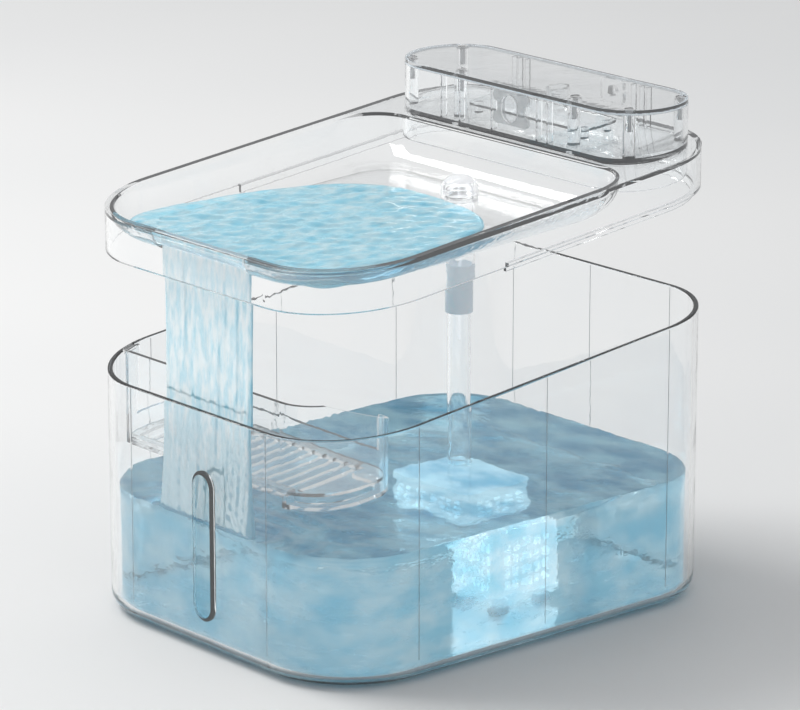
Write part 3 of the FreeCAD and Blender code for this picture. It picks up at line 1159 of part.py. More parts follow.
def control_board():
    """The board that lies on the pod's posts."""
    return join("MultiCommon", "control_board", layer("board_floor_mid", "board_top_mid"),
                rounded_prism("-board_half_width", "board_half_width", "board_front", "board_back",
                              "board_corner", "board_corner"))


MAKERS = [
    tank, level_window, foot_pads,
    pump_base, suction_cups, motor_block, volute, impeller_shaft, rotor_magnet, impeller, inlet_sponge,
    pump_cover, riser_tube,
    filter_tray, filter_grille,
    drinking_tray, dish_spigot, riser_boot, spout_nozzle, nozzle_stem,
    pod_housing, pod_lid, pod_gasket, pod_screws, sensor_lens, sensor_bezel, control_board,
]

pieces = [make() for make in MAKERS]
doc.recompute()

faulty = [item.Label for item in doc.Objects if {"Invalid", "Error"} & set(item.State)]
faulty += [piece.Label for piece in pieces if piece.Shape.isNull() or not piece.Shape.isValid()]
if faulty:
    raise RuntimeError(f"these could not be built: {faulty}")

os.makedirs("parts", exist_ok=True)
for piece in pieces:
    piece.Shape.exportStep(f"parts/{piece.Label}.step")
    box_size = piece.Shape.BoundBox
    print(f"{piece.Label:16s} {len(piece.Shape.Solids)} solids  {piece.Shape.Volume / 1000:8.2f} cm3  "
          f"{box_size.XLength:6.1f} x {box_size.YLength:6.1f} x {box_size.ZLength:6.1f} mm")
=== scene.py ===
# %% [markdown]
# # A clear pet water fountain
# The fountain is a round-cornered tank of clear plastic with a small pump in it. The pump sends water up
# a tube into the dish of the drinking tray, and from there it falls back into the tank in front.
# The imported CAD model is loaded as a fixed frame: its pieces have the true shapes and places, so this
# file gives them finishes, and adds what CAD leaves out, which is mostly the water.

# %% Load the frame
import bpy
import json
import numpy as np
from mathutils import Matrix
from math import radians, sin, cos, tan, pi


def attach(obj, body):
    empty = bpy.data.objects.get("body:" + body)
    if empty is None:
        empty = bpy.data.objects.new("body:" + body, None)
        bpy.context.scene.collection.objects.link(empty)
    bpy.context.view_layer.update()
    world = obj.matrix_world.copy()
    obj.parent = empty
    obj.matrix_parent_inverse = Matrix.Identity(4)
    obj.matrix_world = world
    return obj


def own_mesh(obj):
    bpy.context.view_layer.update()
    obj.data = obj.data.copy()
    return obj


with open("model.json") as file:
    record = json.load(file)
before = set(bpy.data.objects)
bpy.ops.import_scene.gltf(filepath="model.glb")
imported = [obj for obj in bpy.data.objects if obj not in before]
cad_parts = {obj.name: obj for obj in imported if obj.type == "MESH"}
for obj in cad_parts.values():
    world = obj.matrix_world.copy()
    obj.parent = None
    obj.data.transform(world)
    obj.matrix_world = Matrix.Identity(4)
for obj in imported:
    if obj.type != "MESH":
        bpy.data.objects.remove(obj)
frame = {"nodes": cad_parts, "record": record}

scene = bpy.context.scene
nodes = frame["nodes"]
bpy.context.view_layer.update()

# %% [markdown]
# ## The camera
# The picture is taken with a long lens from two metres away, so its upright edges stay almost upright.
# The camera's place is worked out from an aim point, two angles and a distance, and its three axes are
# written straight into its matrix, which is simpler than a tracking constraint.

# %% Place the camera
IMAGE = np.array([800.0, 710.0])
AZIMUTH, ELEVATION, DISTANCE = radians(49.22), radians(15.82), 2.02176
PIXELS_PER_METRE = 2180.0
AIM = np.array([0.0, 0.0, 0.1045])
AIM_OFF_CENTRE = np.array([1.35, 23.83])  # pixels to the right of the centre, and below it

look_back = np.array([sin(AZIMUTH) * cos(ELEVATION), -cos(AZIMUTH) * cos(ELEVATION), sin(ELEVATION)])
right = np.array([cos(AZIMUTH), sin(AZIMUTH), 0.0])
up = np.cross(look_back, right)
focal_pixels = PIXELS_PER_METRE * DISTANCE
shift = (-right * AIM_OFF_CENTRE[0] + up * AIM_OFF_CENTRE[1]) / PIXELS_PER_METRE
eye = AIM + look_back * DISTANCE + shift

camera_data = bpy.data.cameras.new("camera")
camera_data.lens = focal_pixels / IMAGE[0] * camera_data.sensor_width
camera_data.clip_end = 100.0
camera = bpy.data.objects.new("camera", camera_data)
scene.collection.objects.link(camera)
matrix = np.eye(4)
matrix[:3, 0], matrix[:3, 1], matrix[:3, 2], matrix[:3, 3] = right, up, look_back, eye
camera.matrix_world = Matrix(matrix.tolist())
scene.camera = camera
print("camera", np.round(eye, 3), "lens", round(camera_data.lens, 1))

# %% [markdown]
# ## The floor, the light and the render's bounces
# Clear plastic shows only what is around it, so the light matters more than the colour here.
# The floor is pale and wide, the sky is bright overhead and darker near the horizon, and one large lamp
# stands at the upper left. The darker band is what draws the grey lines along the edges of the plastic.
# A ray passes some twenty surfaces on its way through the tank, so it is given that many bounces.

# %% Light the stage
SKY = [(0.0, (0.55, 0.56, 0.57)), (0.08, (0.48, 0.49, 0.51)),  # by the height of the ray's direction
       (0.22, (0.82, 0.83, 0.84)), (1.0, (0.98, 0.98, 0.98))]
SKY_STRENGTH = 0.62
KEY_SIZE, KEY_WATTS, KEY_COLOUR = 1.1, 30.0, (1.0, 0.99, 0.97)
KEY_LEFT, KEY_BEHIND, KEY_HEIGHT = 1.25, 0.55, 1.75  # metres from the origin
BOUNCES, CLEAR_BOUNCES = 24, 16
FLOOR_HALF = 9
FLOOR_TONES = [(0.3, (0.80, 0.81, 0.82)), (0.7, (0.84, 0.845, 0.85))]


def new_nodes(owner):
    """Switches the owner's nodes on and returns its emptied tree."""
    owner.use_nodes = True
    owner.node_tree.nodes.clear()
    return owner.node_tree


def add(tree, kind, **settings):
    """Adds a node of the given kind and sets its attributes by name."""
    node = tree.nodes.new(kind)
    for key, value in settings.items():
        setattr(node, key, value)
    return node


def ramp(tree, source, stops):
    """A smooth colour ramp from source: stops is a list of (position, colour)."""
    node = add(tree, "ShaderNodeValToRGB")
    node.color_ramp.interpolation = "EASE"
    elements = node.color_ramp.elements
    while len(elements) < len(stops):
        elements.new(0.5)  # its place and colour are set below
    for element, (position, colour) in zip(elements, stops):
        element.position = position
        element.color = (*colour, 1.0)
    tree.links.new(source, node.inputs[0])
    return node.outputs[0]


world = bpy.data.worlds.new("studio")
scene.world = world
tree = new_nodes(world)
direction = add(tree, "ShaderNodeTexCoord")
split = add(tree, "ShaderNodeSeparateXYZ")
tree.links.new(direction.outputs["Generated"], split.inputs[0])
sky = ramp(tree, split.outputs["Z"], SKY)
background = add(tree, "ShaderNodeBackground")
background.inputs["Strength"].default_value = SKY_STRENGTH
tree.links.new(sky, background.inputs["Color"])
tree.links.new(background.outputs[0], add(tree, "ShaderNodeOutputWorld").inputs[0])


def lamp(name, place, size, watts, colour, aim=(0.0, 0.0, 0.08)):
    """A square area lamp at place, turned so that it shines towards aim."""
    data = bpy.data.lights.new(name, "AREA")
    data.shape, data.size, data.energy, data.color = "SQUARE", size, watts, colour
    made = bpy.data.objects.new(name, data)
    scene.collection.objects.link(made)
    beam = np.array(aim) - np.array(place)
    beam = beam / np.linalg.norm(beam)
    side = np.cross(beam, [0.0, 0.0, 1.0])
    side = side / np.linalg.norm(side)
    turn = np.eye(4)
    turn[:3, 0], turn[:3, 1], turn[:3, 2], turn[:3, 3] = side, np.cross(side, beam), -beam, place
    made.matrix_world = Matrix(turn.tolist())


level_back = look_back * [1, 1, 0]
key_place = -KEY_LEFT * right - KEY_BEHIND * level_back + np.array([0.0, 0.0, KEY_HEIGHT])
lamp("key", key_place, KEY_SIZE, KEY_WATTS, KEY_COLOUR)
scene.cycles.max_bounces = BOUNCES
scene.cycles.transmission_bounces = BOUNCES
scene.cycles.transparent_max_bounces = CLEAR_BOUNCES
scene.view_settings.view_transform = "Standard"

floor_mesh = bpy.data.meshes.new("floor")
floor_corners = [(x * FLOOR_HALF, y * FLOOR_HALF, 0) for x, y in ((-1, -1), (1, -1), (1, 1), (-1, 1))]
floor_mesh.from_pydata(floor_corners, [], [(0, 1, 2, 3)])
floor = bpy.data.objects.new("floor", floor_mesh)
scene.collection.objects.link(floor)
floor_material = bpy.data.materials.new("floor")
tree = new_nodes(floor_material)
coordinates = add(tree, "ShaderNodeTexCoord")
mottle = add(tree, "ShaderNodeTexNoise")
mottle.inputs["Scale"].default_value = 1.6
tree.links.new(coordinates.outputs["Object"], mottle.inputs["Vector"])
shader = add(tree, "ShaderNodeBsdfPrincipled")
shader.inputs["Roughness"].default_value = 0.6
tree.links.new(ramp(tree, mottle.outputs[0], FLOOR_TONES), shader.inputs["Base Color"])
tree.links.new(shader.outputs[0], add(tree, "ShaderNodeOutputMaterial").inputs[0])
floor_mesh.materials.append(floor_material)

# %% [markdown]
# ## Materials
# Every finish is one Principled shader whose colour, roughness and bump come from noise in the object's
# own coordinates, so they stay put when the camera moves. On the pump's cover the noise is mixed with a
# lattice. A table lists the finishes: two colours to vary between, how large the variation is, the
# roughness, how strong the bump is, and the fixed values. Many of them glow faintly, which is painted
# light: on clear plastic a painted milky sheen, on the pump and the water painted light that they gather.

# %% Define the finish maker
LOW_END, HIGH_END = 0.32, 0.68    # the pattern's values at which the two colours are reached
NOISE_SHARE, BARS_SHARE = 0.4, 0.2  # what the noise and each of the three sets of bars give to a lattice
WAVES_PER_UNIT = 20.0             # the wave texture's phase grows by this times its scale in a metre
RELIEF_SHARE = 0.1                # the depth of the bumps as a share of their size


def finish(name, low, high, size, rough, bump=0.0, bump_size=0.004, stretch=(1.0, 1.0, 1.0), grid=0.0,
           fade=None, **fixed):
    """A material: colour runs from low to high over patches of size metres, and roughness over rough.

    stretch multiplies the pattern's frequency along x, y and z, so a small z gives upright streaks.
    A grid gives the colour and the relief a lattice with cells of that size in metres.
    A fade is (lower height, upper height, shift): at the lower height the pattern is lowered by shift,
    towards the low colour, and at the upper height by nothing. This paints shade on the lower part.
    """
    material = bpy.data.materials.new(name)
    tree = new_nodes(material)
    link = tree.links.new
    scaled = add(tree, "ShaderNodeMapping")
    scaled.inputs["Scale"].default_value = stretch
    own = add(tree, "ShaderNodeTexCoord").outputs["Object"]
    link(own, scaled.inputs["Vector"])
    place = scaled.outputs[0]
    patches = add(tree, "ShaderNodeTexNoise")
    patches.inputs["Scale"].default_value = 1.0 / size
    patches.inputs["Detail"].default_value = 4.0
    link(place, patches.inputs["Vector"])
    pattern = patches.outputs[0]
    if grid:
        share = add(tree, "ShaderNodeMath", operation="MULTIPLY")
        share.inputs[1].default_value = NOISE_SHARE
        link(pattern, share.inputs[0])
        pattern = share.outputs[0]
        for axis in "XYZ":
            bars = add(tree, "ShaderNodeTexWave", bands_direction=axis)
            bars.inputs["Scale"].default_value = 2 * pi / (WAVES_PER_UNIT * grid)
            link(place, bars.inputs["Vector"])
            share = add(tree, "ShaderNodeMath", operation="MULTIPLY_ADD")
            share.inputs[1].default_value = BARS_SHARE
            link(bars.outputs[1], share.inputs[0])
            link(pattern, share.inputs[2])
            pattern = share.outputs[0]
    if fade:
        lower, upper, amount = fade
        height = add(tree, "ShaderNodeSeparateXYZ")
        link(own, height.inputs[0])
        lowering = add(tree, "ShaderNodeMapRange")
        for key, value in {"From Min": lower, "From Max": upper, "To Min": -amount, "To Max": 0.0}.items():
            lowering.inputs[key].default_value = value
        link(height.outputs["Z"], lowering.inputs["Value"])
        shifted = add(tree, "ShaderNodeMath", operation="ADD")
        link(pattern, shifted.inputs[0])
        link(lowering.outputs[0], shifted.inputs[1])
        pattern = shifted.outputs[0]
    shader = add(tree, "ShaderNodeBsdfPrincipled")
    for key, value in fixed.items():
        shader.inputs[key.replace("_", " ")].default_value = value
    link(ramp(tree, pattern, [(LOW_END, low), (HIGH_END, high)]), shader.inputs["Base Color"])
    spread = add(tree, "ShaderNodeMapRange")
    spread.inputs["To Min"].default_value, spread.inputs["To Max"].default_value = rough
    link(patches.outputs[0], spread.inputs["Value"])
    link(spread.outputs[0], shader.inputs["Roughness"])
    if bump:
        grain = add(tree, "ShaderNodeTexNoise")
        grain.inputs["Scale"].default_value = 1.0 / bump_size
        grain.inputs["Detail"].default_value = 3.0
        link(place, grain.inputs["Vector"])
        relief = add(tree, "ShaderNodeBump")
        relief.inputs["Strength"].default_value = bump
        relief.inputs["Distance"].default_value = bump_size * RELIEF_SHARE
        link(pattern if grid else grain.outputs[0], relief.inputs["Height"])
        link(relief.outputs[0], shader.inputs["Normal"])
    link(shader.outputs[0], add(tree, "ShaderNodeOutputMaterial").inputs[0])
    return material


# CLEAR and CLEAR_TANK give clear plastic a faint glow, which is painted light. It also lightens the dark
# lines, where rays get lost. The tank's is fainter, because most of the picture is seen through it.
CLEAR = {"Transmission_Weight": 1.0, "IOR": 1.49,
         "Emission_Color": (0.95, 0.97, 1.0, 1.0), "Emission_Strength": 0.014}
CLEAR_TANK = {**CLEAR, "Emission_Strength": 0.004}
FINISHES = {
    "clear_plastic": dict(low=(0.975, 0.985, 0.99), high=(0.99, 0.995, 0.995), size=0.05,
                          rough=(0.0, 0.03), bump=0.05, bump_size=0.03, **CLEAR_TANK),
    "window_plastic": dict(low=(0.93, 0.96, 0.97), high=(0.96, 0.98, 0.98), size=0.02,
                           rough=(0.0, 0.05), bump=0.05, bump_size=0.01,
                           Transmission_Weight=1.0, IOR=1.30),
    "pad_rubber": dict(low=(0.70, 0.72, 0.74), high=(0.80, 0.82, 0.84), size=0.004,
                       rough=(0.5, 0.7), bump=0.3, bump_size=0.001),
    # pump_plastic, soft_silicone, motor_resin, sponge and cover_plastic glow faintly: painted light that
    # brightens them in the water.
    "pump_plastic": dict(low=(0.82, 0.92, 0.96), high=(0.90, 0.97, 0.99), size=0.01,
                         rough=(0.05, 0.2), bump=0.1, bump_size=0.003, Transmission_Weight=0.6,
                         IOR=1.42, Emission_Color=(0.70, 0.87, 0.94, 1.0), Emission_Strength=0.20),
    "soft_silicone": dict(low=(0.80, 0.86, 0.91), high=(0.88, 0.93, 0.97), size=0.008,
                          rough=(0.2, 0.35), bump=0.15, bump_size=0.002, IOR=1.4,
                          Emission_Color=(0.80, 0.88, 0.94, 1.0), Emission_Strength=0.16),
    "motor_resin": dict(low=(0.80, 0.90, 0.94), high=(0.88, 0.95, 0.98), size=0.006,
                        rough=(0.3, 0.5), bump=0.15, bump_size=0.002,
                        Emission_Color=(0.70, 0.87, 0.94, 1.0), Emission_Strength=0.20),
    "shaft_steel": dict(low=(0.62, 0.63, 0.65), high=(0.75, 0.76, 0.78), size=0.003,
                        rough=(0.15, 0.3), bump=0.1, bump_size=0.0008, Metallic=1.0),
    "ferrite": dict(low=(0.50, 0.54, 0.57), high=(0.60, 0.63, 0.66), size=0.003,
                    rough=(0.45, 0.6), bump=0.2, bump_size=0.0008),
    "impeller_plastic": dict(low=(0.86, 0.92, 0.95), high=(0.92, 0.96, 0.98), size=0.006,
                             rough=(0.2, 0.35), bump=0.1, bump_size=0.002, Transmission_Weight=0.4),
    "sponge": dict(low=(0.66, 0.82, 0.90), high=(0.88, 0.96, 0.99), size=0.0016,
                   rough=(0.8, 0.95), bump=0.9, bump_size=0.0012,
                   Emission_Color=(0.70, 0.87, 0.94, 1.0), Emission_Strength=0.20),
    "cover_plastic": dict(low=(0.74, 0.91, 0.97), high=(0.97, 1.0, 1.0), size=0.012, grid=0.0025,
                          rough=(0.08, 0.25), bump=0.5, bump_size=0.003, Transmission_Weight=0.45,
                          IOR=1.42, Emission_Color=(0.90, 0.95, 0.98, 1.0), Emission_Strength=0.30),
    "tube_plastic": dict(low=(0.95, 0.97, 0.98), high=(0.98, 0.99, 0.99), size=0.02,
                         rough=(0.0, 0.04), bump=0.06, bump_size=0.01, **CLEAR),
    "basket_plastic": dict(low=(0.96, 0.98, 0.985), high=(0.985, 0.99, 0.99), size=0.03,
                           rough=(0.0, 0.04), bump=0.08, bump_size=0.012, **CLEAR),
    "tray_plastic": dict(low=(0.97, 0.98, 0.985), high=(0.985, 0.99, 0.99), size=0.05,
                         rough=(0.0, 0.04), bump=0.06, bump_size=0.02, **CLEAR),
    # The nozzle's glow is painted light that brightens it.
    "nozzle_plastic": dict(low=(0.96, 0.97, 0.98), high=(0.99, 0.99, 1.0), size=0.01,
                           rough=(0.05, 0.12), bump=0.08, bump_size=0.004, Transmission_Weight=0.85,
                           IOR=1.22, Emission_Color=(0.97, 0.98, 1.0, 1.0), Emission_Strength=0.12),
    "pod_plastic": dict(low=(0.965, 0.975, 0.98), high=(0.985, 0.99, 0.99), size=0.04,
                        rough=(0.0, 0.04), bump=0.06, bump_size=0.02, **CLEAR),
    "screw_nylon": dict(low=(0.80, 0.81, 0.83), high=(0.88, 0.89, 0.90), size=0.002,
                        rough=(0.35, 0.5), bump=0.1, bump_size=0.001, Transmission_Weight=0.5),
    "lens_plastic": dict(low=(0.92, 0.94, 0.95), high=(0.96, 0.97, 0.98), size=0.006,
                         rough=(0.0, 0.04), bump=0.05, bump_size=0.003, **CLEAR),
    "board_plastic": dict(low=(0.95, 0.97, 0.98), high=(0.98, 0.99, 0.99), size=0.02,
                          rough=(0.02, 0.08), bump=0.06, bump_size=0.008, **CLEAR),
    # The water finishes glow faintly, which is painted light. water_top is darker and bluer than
    # water_side: painted shade on the top.
    "water_side": dict(low=(0.24, 0.66, 0.86), high=(0.82, 0.96, 1.0), size=0.022,
                       rough=(0.0, 0.03), bump=0.5, bump_size=0.007, stretch=(1.0, 1.0, 1.8),
                       Transmission_Weight=0.84, IOR=1.33,
                       Emission_Color=(0.50, 0.84, 1.0, 1.0), Emission_Strength=0.06),
    "water_top": dict(low=(0.05, 0.32, 0.54), high=(0.50, 0.85, 0.98), size=0.026,
                      rough=(0.0, 0.04), bump=0.22, bump_size=0.010, stretch=(1.0, 1.6, 1.0),
                      Transmission_Weight=0.72, IOR=1.33,
                      Emission_Color=(0.40, 0.80, 1.0, 1.0), Emission_Strength=0.045),
    "pool_top": dict(low=(0.34, 0.79, 0.96), high=(0.78, 0.96, 1.0), size=0.007,
                     rough=(0.0, 0.03), bump=0.5, bump_size=0.005, stretch=(1.6, 0.8, 1.0),
                     Transmission_Weight=0.74, IOR=1.33,
                     Emission_Color=(0.50, 0.84, 1.0, 1.0), Emission_Strength=0.05),
    # fall_water's fade is painted shade: the sheet is darker and bluer low down, where it runs inside the
    # tank.
    "fall_water": dict(low=(0.34, 0.72, 0.88), high=(0.80, 0.95, 0.99), size=0.0032,
                       rough=(0.0, 0.06), bump=0.30, bump_size=0.003, stretch=(1.0, 1.0, 0.30),
                       fade=(0.060, 0.120, 0.30), Transmission_Weight=0.32, IOR=1.33,
                       Emission_Color=(0.50, 0.84, 1.0, 1.0), Emission_Strength=0.04),
    "wall_line": dict(low=(0.34, 0.37, 0.41), high=(0.46, 0.49, 0.52), size=0.01,
                      rough=(0.4, 0.6)),
    "bezel_plastic": dict(low=(0.93, 0.95, 0.97), high=(0.97, 0.98, 0.99), size=0.01,
                          rough=(0.1, 0.2), bump=0.05, bump_size=0.004, Alpha=0.35),
}
materials = {name: finish(name, **values) for name, values in FINISHES.items()}
print("materials", len(materials))

# %% [markdown]
# ## Finish the CAD pieces
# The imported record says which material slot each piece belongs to. Each slot has a finish of the same
# name, so one loop dresses all the pieces, and nobody has to list them again here. Only the frame round
# the sensor gets a finish of its own, which is partly transparent.

# %% Give every CAD piece its finish
for row in frame["record"]["subparts"]:
    mesh = nodes[row["node"]].data
    mesh.materials.clear()
    mesh.materials.append(materials[row["material_slot"]])
nodes["sensor_bezel"].data.materials[0] = materials["bezel_plastic"]

# %% [markdown]
# ## A way to make closed bodies of water
# All the water is built the same way: rows of points, each row a ring round the body, from a point at
# one end to a point at the other. A grid of faces joins the rows, and a fan closes each end.
# Whole rows are worked out at once with numpy, which keeps the code short and quick.

# %% Define the ring body
CORNER_POINTS = 40


def ring_body(name, rows, start, end, finishes, slots=None):
    """A closed mesh from rows (rings x points x 3), with a fan to start and one to end.

    Ring r, point k has the number r * points + k, and the faces join it to the next ring and point.
    slots gives the finish's number for each ring of faces, and the fans take the first and the last.
    """
    rings, points = rows.shape[:2]
    vertices = np.concatenate([rows.reshape(-1, 3), [start], [end]])
    k = np.arange(points)
    after = (k + 1) % points
    first = np.arange(rings - 1)[:, None] * points
    quads = np.stack([first + k, first + after, first + points + after, first + points + k], axis=-1)
    last = (rings - 1) * points
    fan_in = np.stack([after, k, np.full(points, rings * points)], axis=-1)
    fan_out = np.stack([last + k, last + after, np.full(points, rings * points + 1)], axis=-1)
    faces = quads.reshape(-1, 4).tolist() + fan_in.tolist() + fan_out.tolist()
    mesh = bpy.data.meshes.new(name)
    mesh.from_pydata(vertices.tolist(), [], faces)
    mesh.shade_smooth()
    for item in finishes:
        mesh.materials.append(item)
    if slots is not None:
        ring_slots = np.repeat(np.asarray(slots), points)
        ends = np.concatenate([np.full(points, slots[0]), np.full(points, slots[-1])])
        face_slots = np.concatenate([ring_slots, ends]).astype(np.int32)
        mesh.polygons.foreach_set("material_index", face_slots)
    piece = bpy.data.objects.new(name, mesh)
    scene.collection.objects.link(piece)
    print(name, "rings", rings, "points", points)
    return piece


def rounded_outline(half_width, front, back, corner_front, corner_back, count):
    """Points evenly along a rectangle with round corners, anticlockwise from the front's middle."""
    turn = np.linspace(0.0, pi / 2, CORNER_POINTS)
    corners = [(half_width - corner_front, front + corner_front, corner_front, -pi / 2),
               (half_width - corner_back, back - corner_back, corner_back, 0.0),
               (-half_width + corner_back, back - corner_back, corner_back, pi / 2),
               (-half_width + corner_front, front + corner_front, corner_front, pi)]
    arcs = [np.stack([x + r * np.cos(turn + a), y + r * np.sin(turn + a)], axis=-1)
            for x, y, r, a in corners]
    path = np.concatenate([[(0.0, front)], *arcs, [(0.0, front)]])
    along = np.concatenate([[0.0], np.cumsum(np.linalg.norm(np.diff(path, axis=0), axis=1))])
    wanted = np.arange(count) / count * along[-1]
    return np.stack([np.interp(wanted, along, path[:, 0]), np.interp(wanted, along, path[:, 1])], axis=-1)


def swell(x, y, waves):
    """The height of small waves at x, y: each has a height, a length, a direction and a phase."""
    return sum(h * np.sin(2 * pi * (x * cos(a) + y * sin(a)) / length + phase)
               for h, length, a, phase in waves)


SEED = 11
random = np.random.default_rng(SEED)


def wave_set(count, height, shortest, longest):
    """Waves of random length, direction and phase; longer ones are higher."""
    lengths = random.uniform(shortest, longest, count)
    return [(height * length / longest, length, random.uniform(0, 2 * pi), random.uniform(0, 2 * pi))
            for length in lengths]

# %% [markdown]
# ## The water in the tank
# The water stands 60 mm above the underside. It fills the tank to within a hair of its inner wall, and its
# top is uneven, most of all in front, where the stream lands. Top and sides are two materials on one
# closed mesh: the top is painted darker and a deeper blue than the sides, which is painted shade.

# %% Fill the tank
WATER_LEVEL = 0.0600
WATER_FLOOR = 0.0042
WATER_HALF_WIDTH, WATER_HALF_DEPTH = 0.0914, 0.1154
FRONT_CORNER, BACK_CORNER = 0.0434, 0.0374
OUTLINE_POINTS, TOP_RINGS, SIDE_RINGS, BOTTOM_RINGS = 420, 110, 14, 12
BULGE_DEPTH, BULGES = 0.00035, 23  # the sides are a little uneven, by this much and this often
FALL_Y = -0.1115
LANDING_HALF = 0.030
RING_HEIGHT, RING_FADE, RING_LENGTH = 0.0008, 0.025, 0.011
FROTH_HEIGHT, FROTH_REACH, FROTH_LENGTHS = 0.0020, 0.004, (0.0111, 0.0163)
outline = rounded_outline(WATER_HALF_WIDTH, -WATER_HALF_DEPTH, WATER_HALF_DEPTH, FRONT_CORNER, BACK_CORNER,
                          OUTLINE_POINTS)
tank_waves = wave_set(10, 0.00009, 0.008, 0.030)


def tank_top(x, y):
    """The level, the waves, the rings that spread from the stream, and the froth where it lands."""
    away = np.hypot(np.maximum(np.abs(x) - LANDING_HALF, 0.0), y - FALL_Y)
    rings = RING_HEIGHT * np.exp(-away / RING_FADE) * np.sin(2 * pi * away / RING_LENGTH)
    short, long = FROTH_LENGTHS
    bumps = np.abs(np.sin(2 * pi * x / short) * np.sin(2 * pi * x / long + 1.0))
    froth = FROTH_HEIGHT * np.exp(-(away / FROTH_REACH) ** 2) * bumps
    return WATER_LEVEL + swell(x, y, tank_waves) + rings + froth


share = np.linspace(0.01, 1.0, TOP_RINGS)[:, None, None]
top = outline[None] * share
top_rows = np.concatenate([top, tank_top(top[..., 0], top[..., 1])[..., None]], axis=-1)
edge = top_rows[-1]
drop = np.linspace(0.0, 1.0, SIDE_RINGS)[1:, None]
turn_share = np.arange(OUTLINE_POINTS) / OUTLINE_POINTS
bulge = BULGE_DEPTH * np.sin(2 * pi * turn_share * BULGES)[None] * np.sin(pi * drop)
outward = outline / np.linalg.norm(outline, axis=1, keepdims=True)
side_plan = outline[None] - outward[None] * np.abs(bulge)[..., None]
side_height = edge[None, :, 2] * (1 - drop) + WATER_FLOOR * drop
side_rows = np.concatenate([side_plan, side_height[..., None]], axis=-1)
bottom = outline[None] * np.linspace(0.98, 0.02, BOTTOM_RINGS)[:, None, None]
bottom_rows = np.concatenate([bottom, np.full(bottom.shape[:2] + (1,), WATER_FLOOR)], axis=-1)
rows = np.concatenate([top_rows, side_rows, bottom_rows])
slots = [0] * (len(top_rows) - 1) + [1] * (len(side_rows) + len(bottom_rows))
tank_water = ring_body("tank_water", rows[:, ::-1], (0, 0, WATER_LEVEL), (0, 0, WATER_FLOOR),
                       [materials["water_top"], materials["water_side"]], slots)
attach(tank_water, "base")

# %% [markdown]
# ## The pool in the dish
# The dish floor falls towards the front, so the water only covers the part in front of the nozzle and its
# edge wanders across the dry plastic behind. The pool is a thin closed body: its underside follows the
# dish floor and its cove, a tenth of a millimetre above them, and its top is level but rippled.

# %% Pour the pool
POOL_LEVEL = 0.1857
DISH_SLOPE, RIM_SLOPE = tan(radians(2.8)), tan(radians(6.3))
DISH_HEIGHT, DISH_RIM_HEIGHT = 0.1843, 0.2004  # at y = 0
COVE_SIDE, COVE_FRONT = 0.0636, -0.1036        # where the cove starts, in x and in y
COVE_WIDTH, COVE_DEPTH = 0.029, 0.013          # how far it reaches from there, in x and in y
COVE_SHARES, COVE_RISES = [0.0, 0.55, 0.86, 1.0], [0.0, 0.235, 0.57, 1.0]
NOZZLE_Y = 0.0352
SHORE_POINTS, SMOOTHING = 360, 13
LEAST_DEPTH = 0.0005
# The shore's points in millimetres, from the right front corner and anticlockwise.
shore = np.array([(60, -111), (76, -103), (78, -88), (73, -66), (67, -40), (60, -14), (51, 4.7),
                  (38, 15), (23, 20.8), (7.6, 22.7), (-10, 24.5), (-29, 24), (-42, 20), (-52, 13),
                  (-60, 2), (-65, -12), (-70, -32), (-72, -60), (-74, -88), (-71, -103),
                  (-60, -110.5), (-30, -113), (0, -113.4), (30, -113)]) / 1000.0
middle = np.array([0.0, -0.045])
around = np.arctan2(shore[:, 1] - middle[1], shore[:, 0] - middle[0])
reach = np.linalg.norm(shore - middle, axis=1)
order = np.argsort(around)
angles = np.linspace(-pi, pi, SHORE_POINTS, endpoint=False)
distance = np.interp(angles, around[order], reach[order], period=2 * pi)
weights = np.hanning(SMOOTHING) / np.hanning(SMOOTHING).sum()
lap = SMOOTHING // 2
distance = np.convolve(np.concatenate([distance[-lap:], distance, distance[:lap]]), weights, mode="valid")
plan = np.stack([np.cos(angles), np.sin(angles)], axis=-1) * distance[:, None]
pool_waves = wave_set(14, 0.00014, 0.005, 0.018)


def pool_floor(x, y):
    """A tenth of a millimetre above the dish: a sloping plane that turns up along the dish's cove.

    The share of the way across the cove is 0 at the flat floor and 1 at the rim, and the rise follows it.
    """
    flat = DISH_HEIGHT + DISH_SLOPE * y
    rim = DISH_RIM_HEIGHT + RIM_SLOPE * y
    beside = np.maximum(np.abs(x) - COVE_SIDE, 0.0) / COVE_WIDTH
    before = np.maximum(COVE_FRONT - y, 0.0) / COVE_DEPTH
    across = np.minimum(np.hypot(beside, before), 1.0)
    return flat + (rim - flat) * np.interp(across, COVE_SHARES, COVE_RISES)


def pool_top(x, y, near_edge):
    """The level with ripples that fade near the shore, where the top bends down to the floor.

    near_edge is 0 at the shore and 1 in the middle. The ripples are whole from a sixth of the way on,
    and the bend is a quarter of a circle over the outermost fourteenth.
    """
    from_nozzle = np.hypot(x, y - NOZZLE_Y)
    rings = 0.00018 * np.exp(-from_nozzle / 0.05) * np.sin(2 * pi * from_nozzle / 0.009)
    height = POOL_LEVEL + (swell(x, y, pool_waves) + rings) * np.minimum(near_edge * 6, 1.0)
    base = pool_floor(x, y)
    bend = np.sqrt(np.clip(1 - (1 - np.minimum(near_edge * 14, 1.0)) ** 2, 0.0, 1.0))
    return base + np.maximum(height - base, LEAST_DEPTH) * bend


share = np.concatenate([np.linspace(0.01, 0.9, 80), np.linspace(0.91, 1.0, 24)])[:, None, None]
top = middle + plan[None] * share
near_edge = np.broadcast_to(1 - share[..., 0], top.shape[:2])
top_rows = np.concatenate([top, pool_top(top[..., 0], top[..., 1], near_edge)[..., None]], axis=-1)
share = np.linspace(0.98, 0.02, 40)[:, None, None]
bottom = middle + plan[None] * share
bottom_rows = np.concatenate([bottom, pool_floor(bottom[..., 0], bottom[..., 1])[..., None]], axis=-1)
rows = np.concatenate([top_rows, bottom_rows])
pool = ring_body("dish_pool", rows[:, ::-1], (*middle, POOL_LEVEL), (*middle, pool_floor(*middle)),
                 [materials["pool_top"]])
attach(pool, "tray")
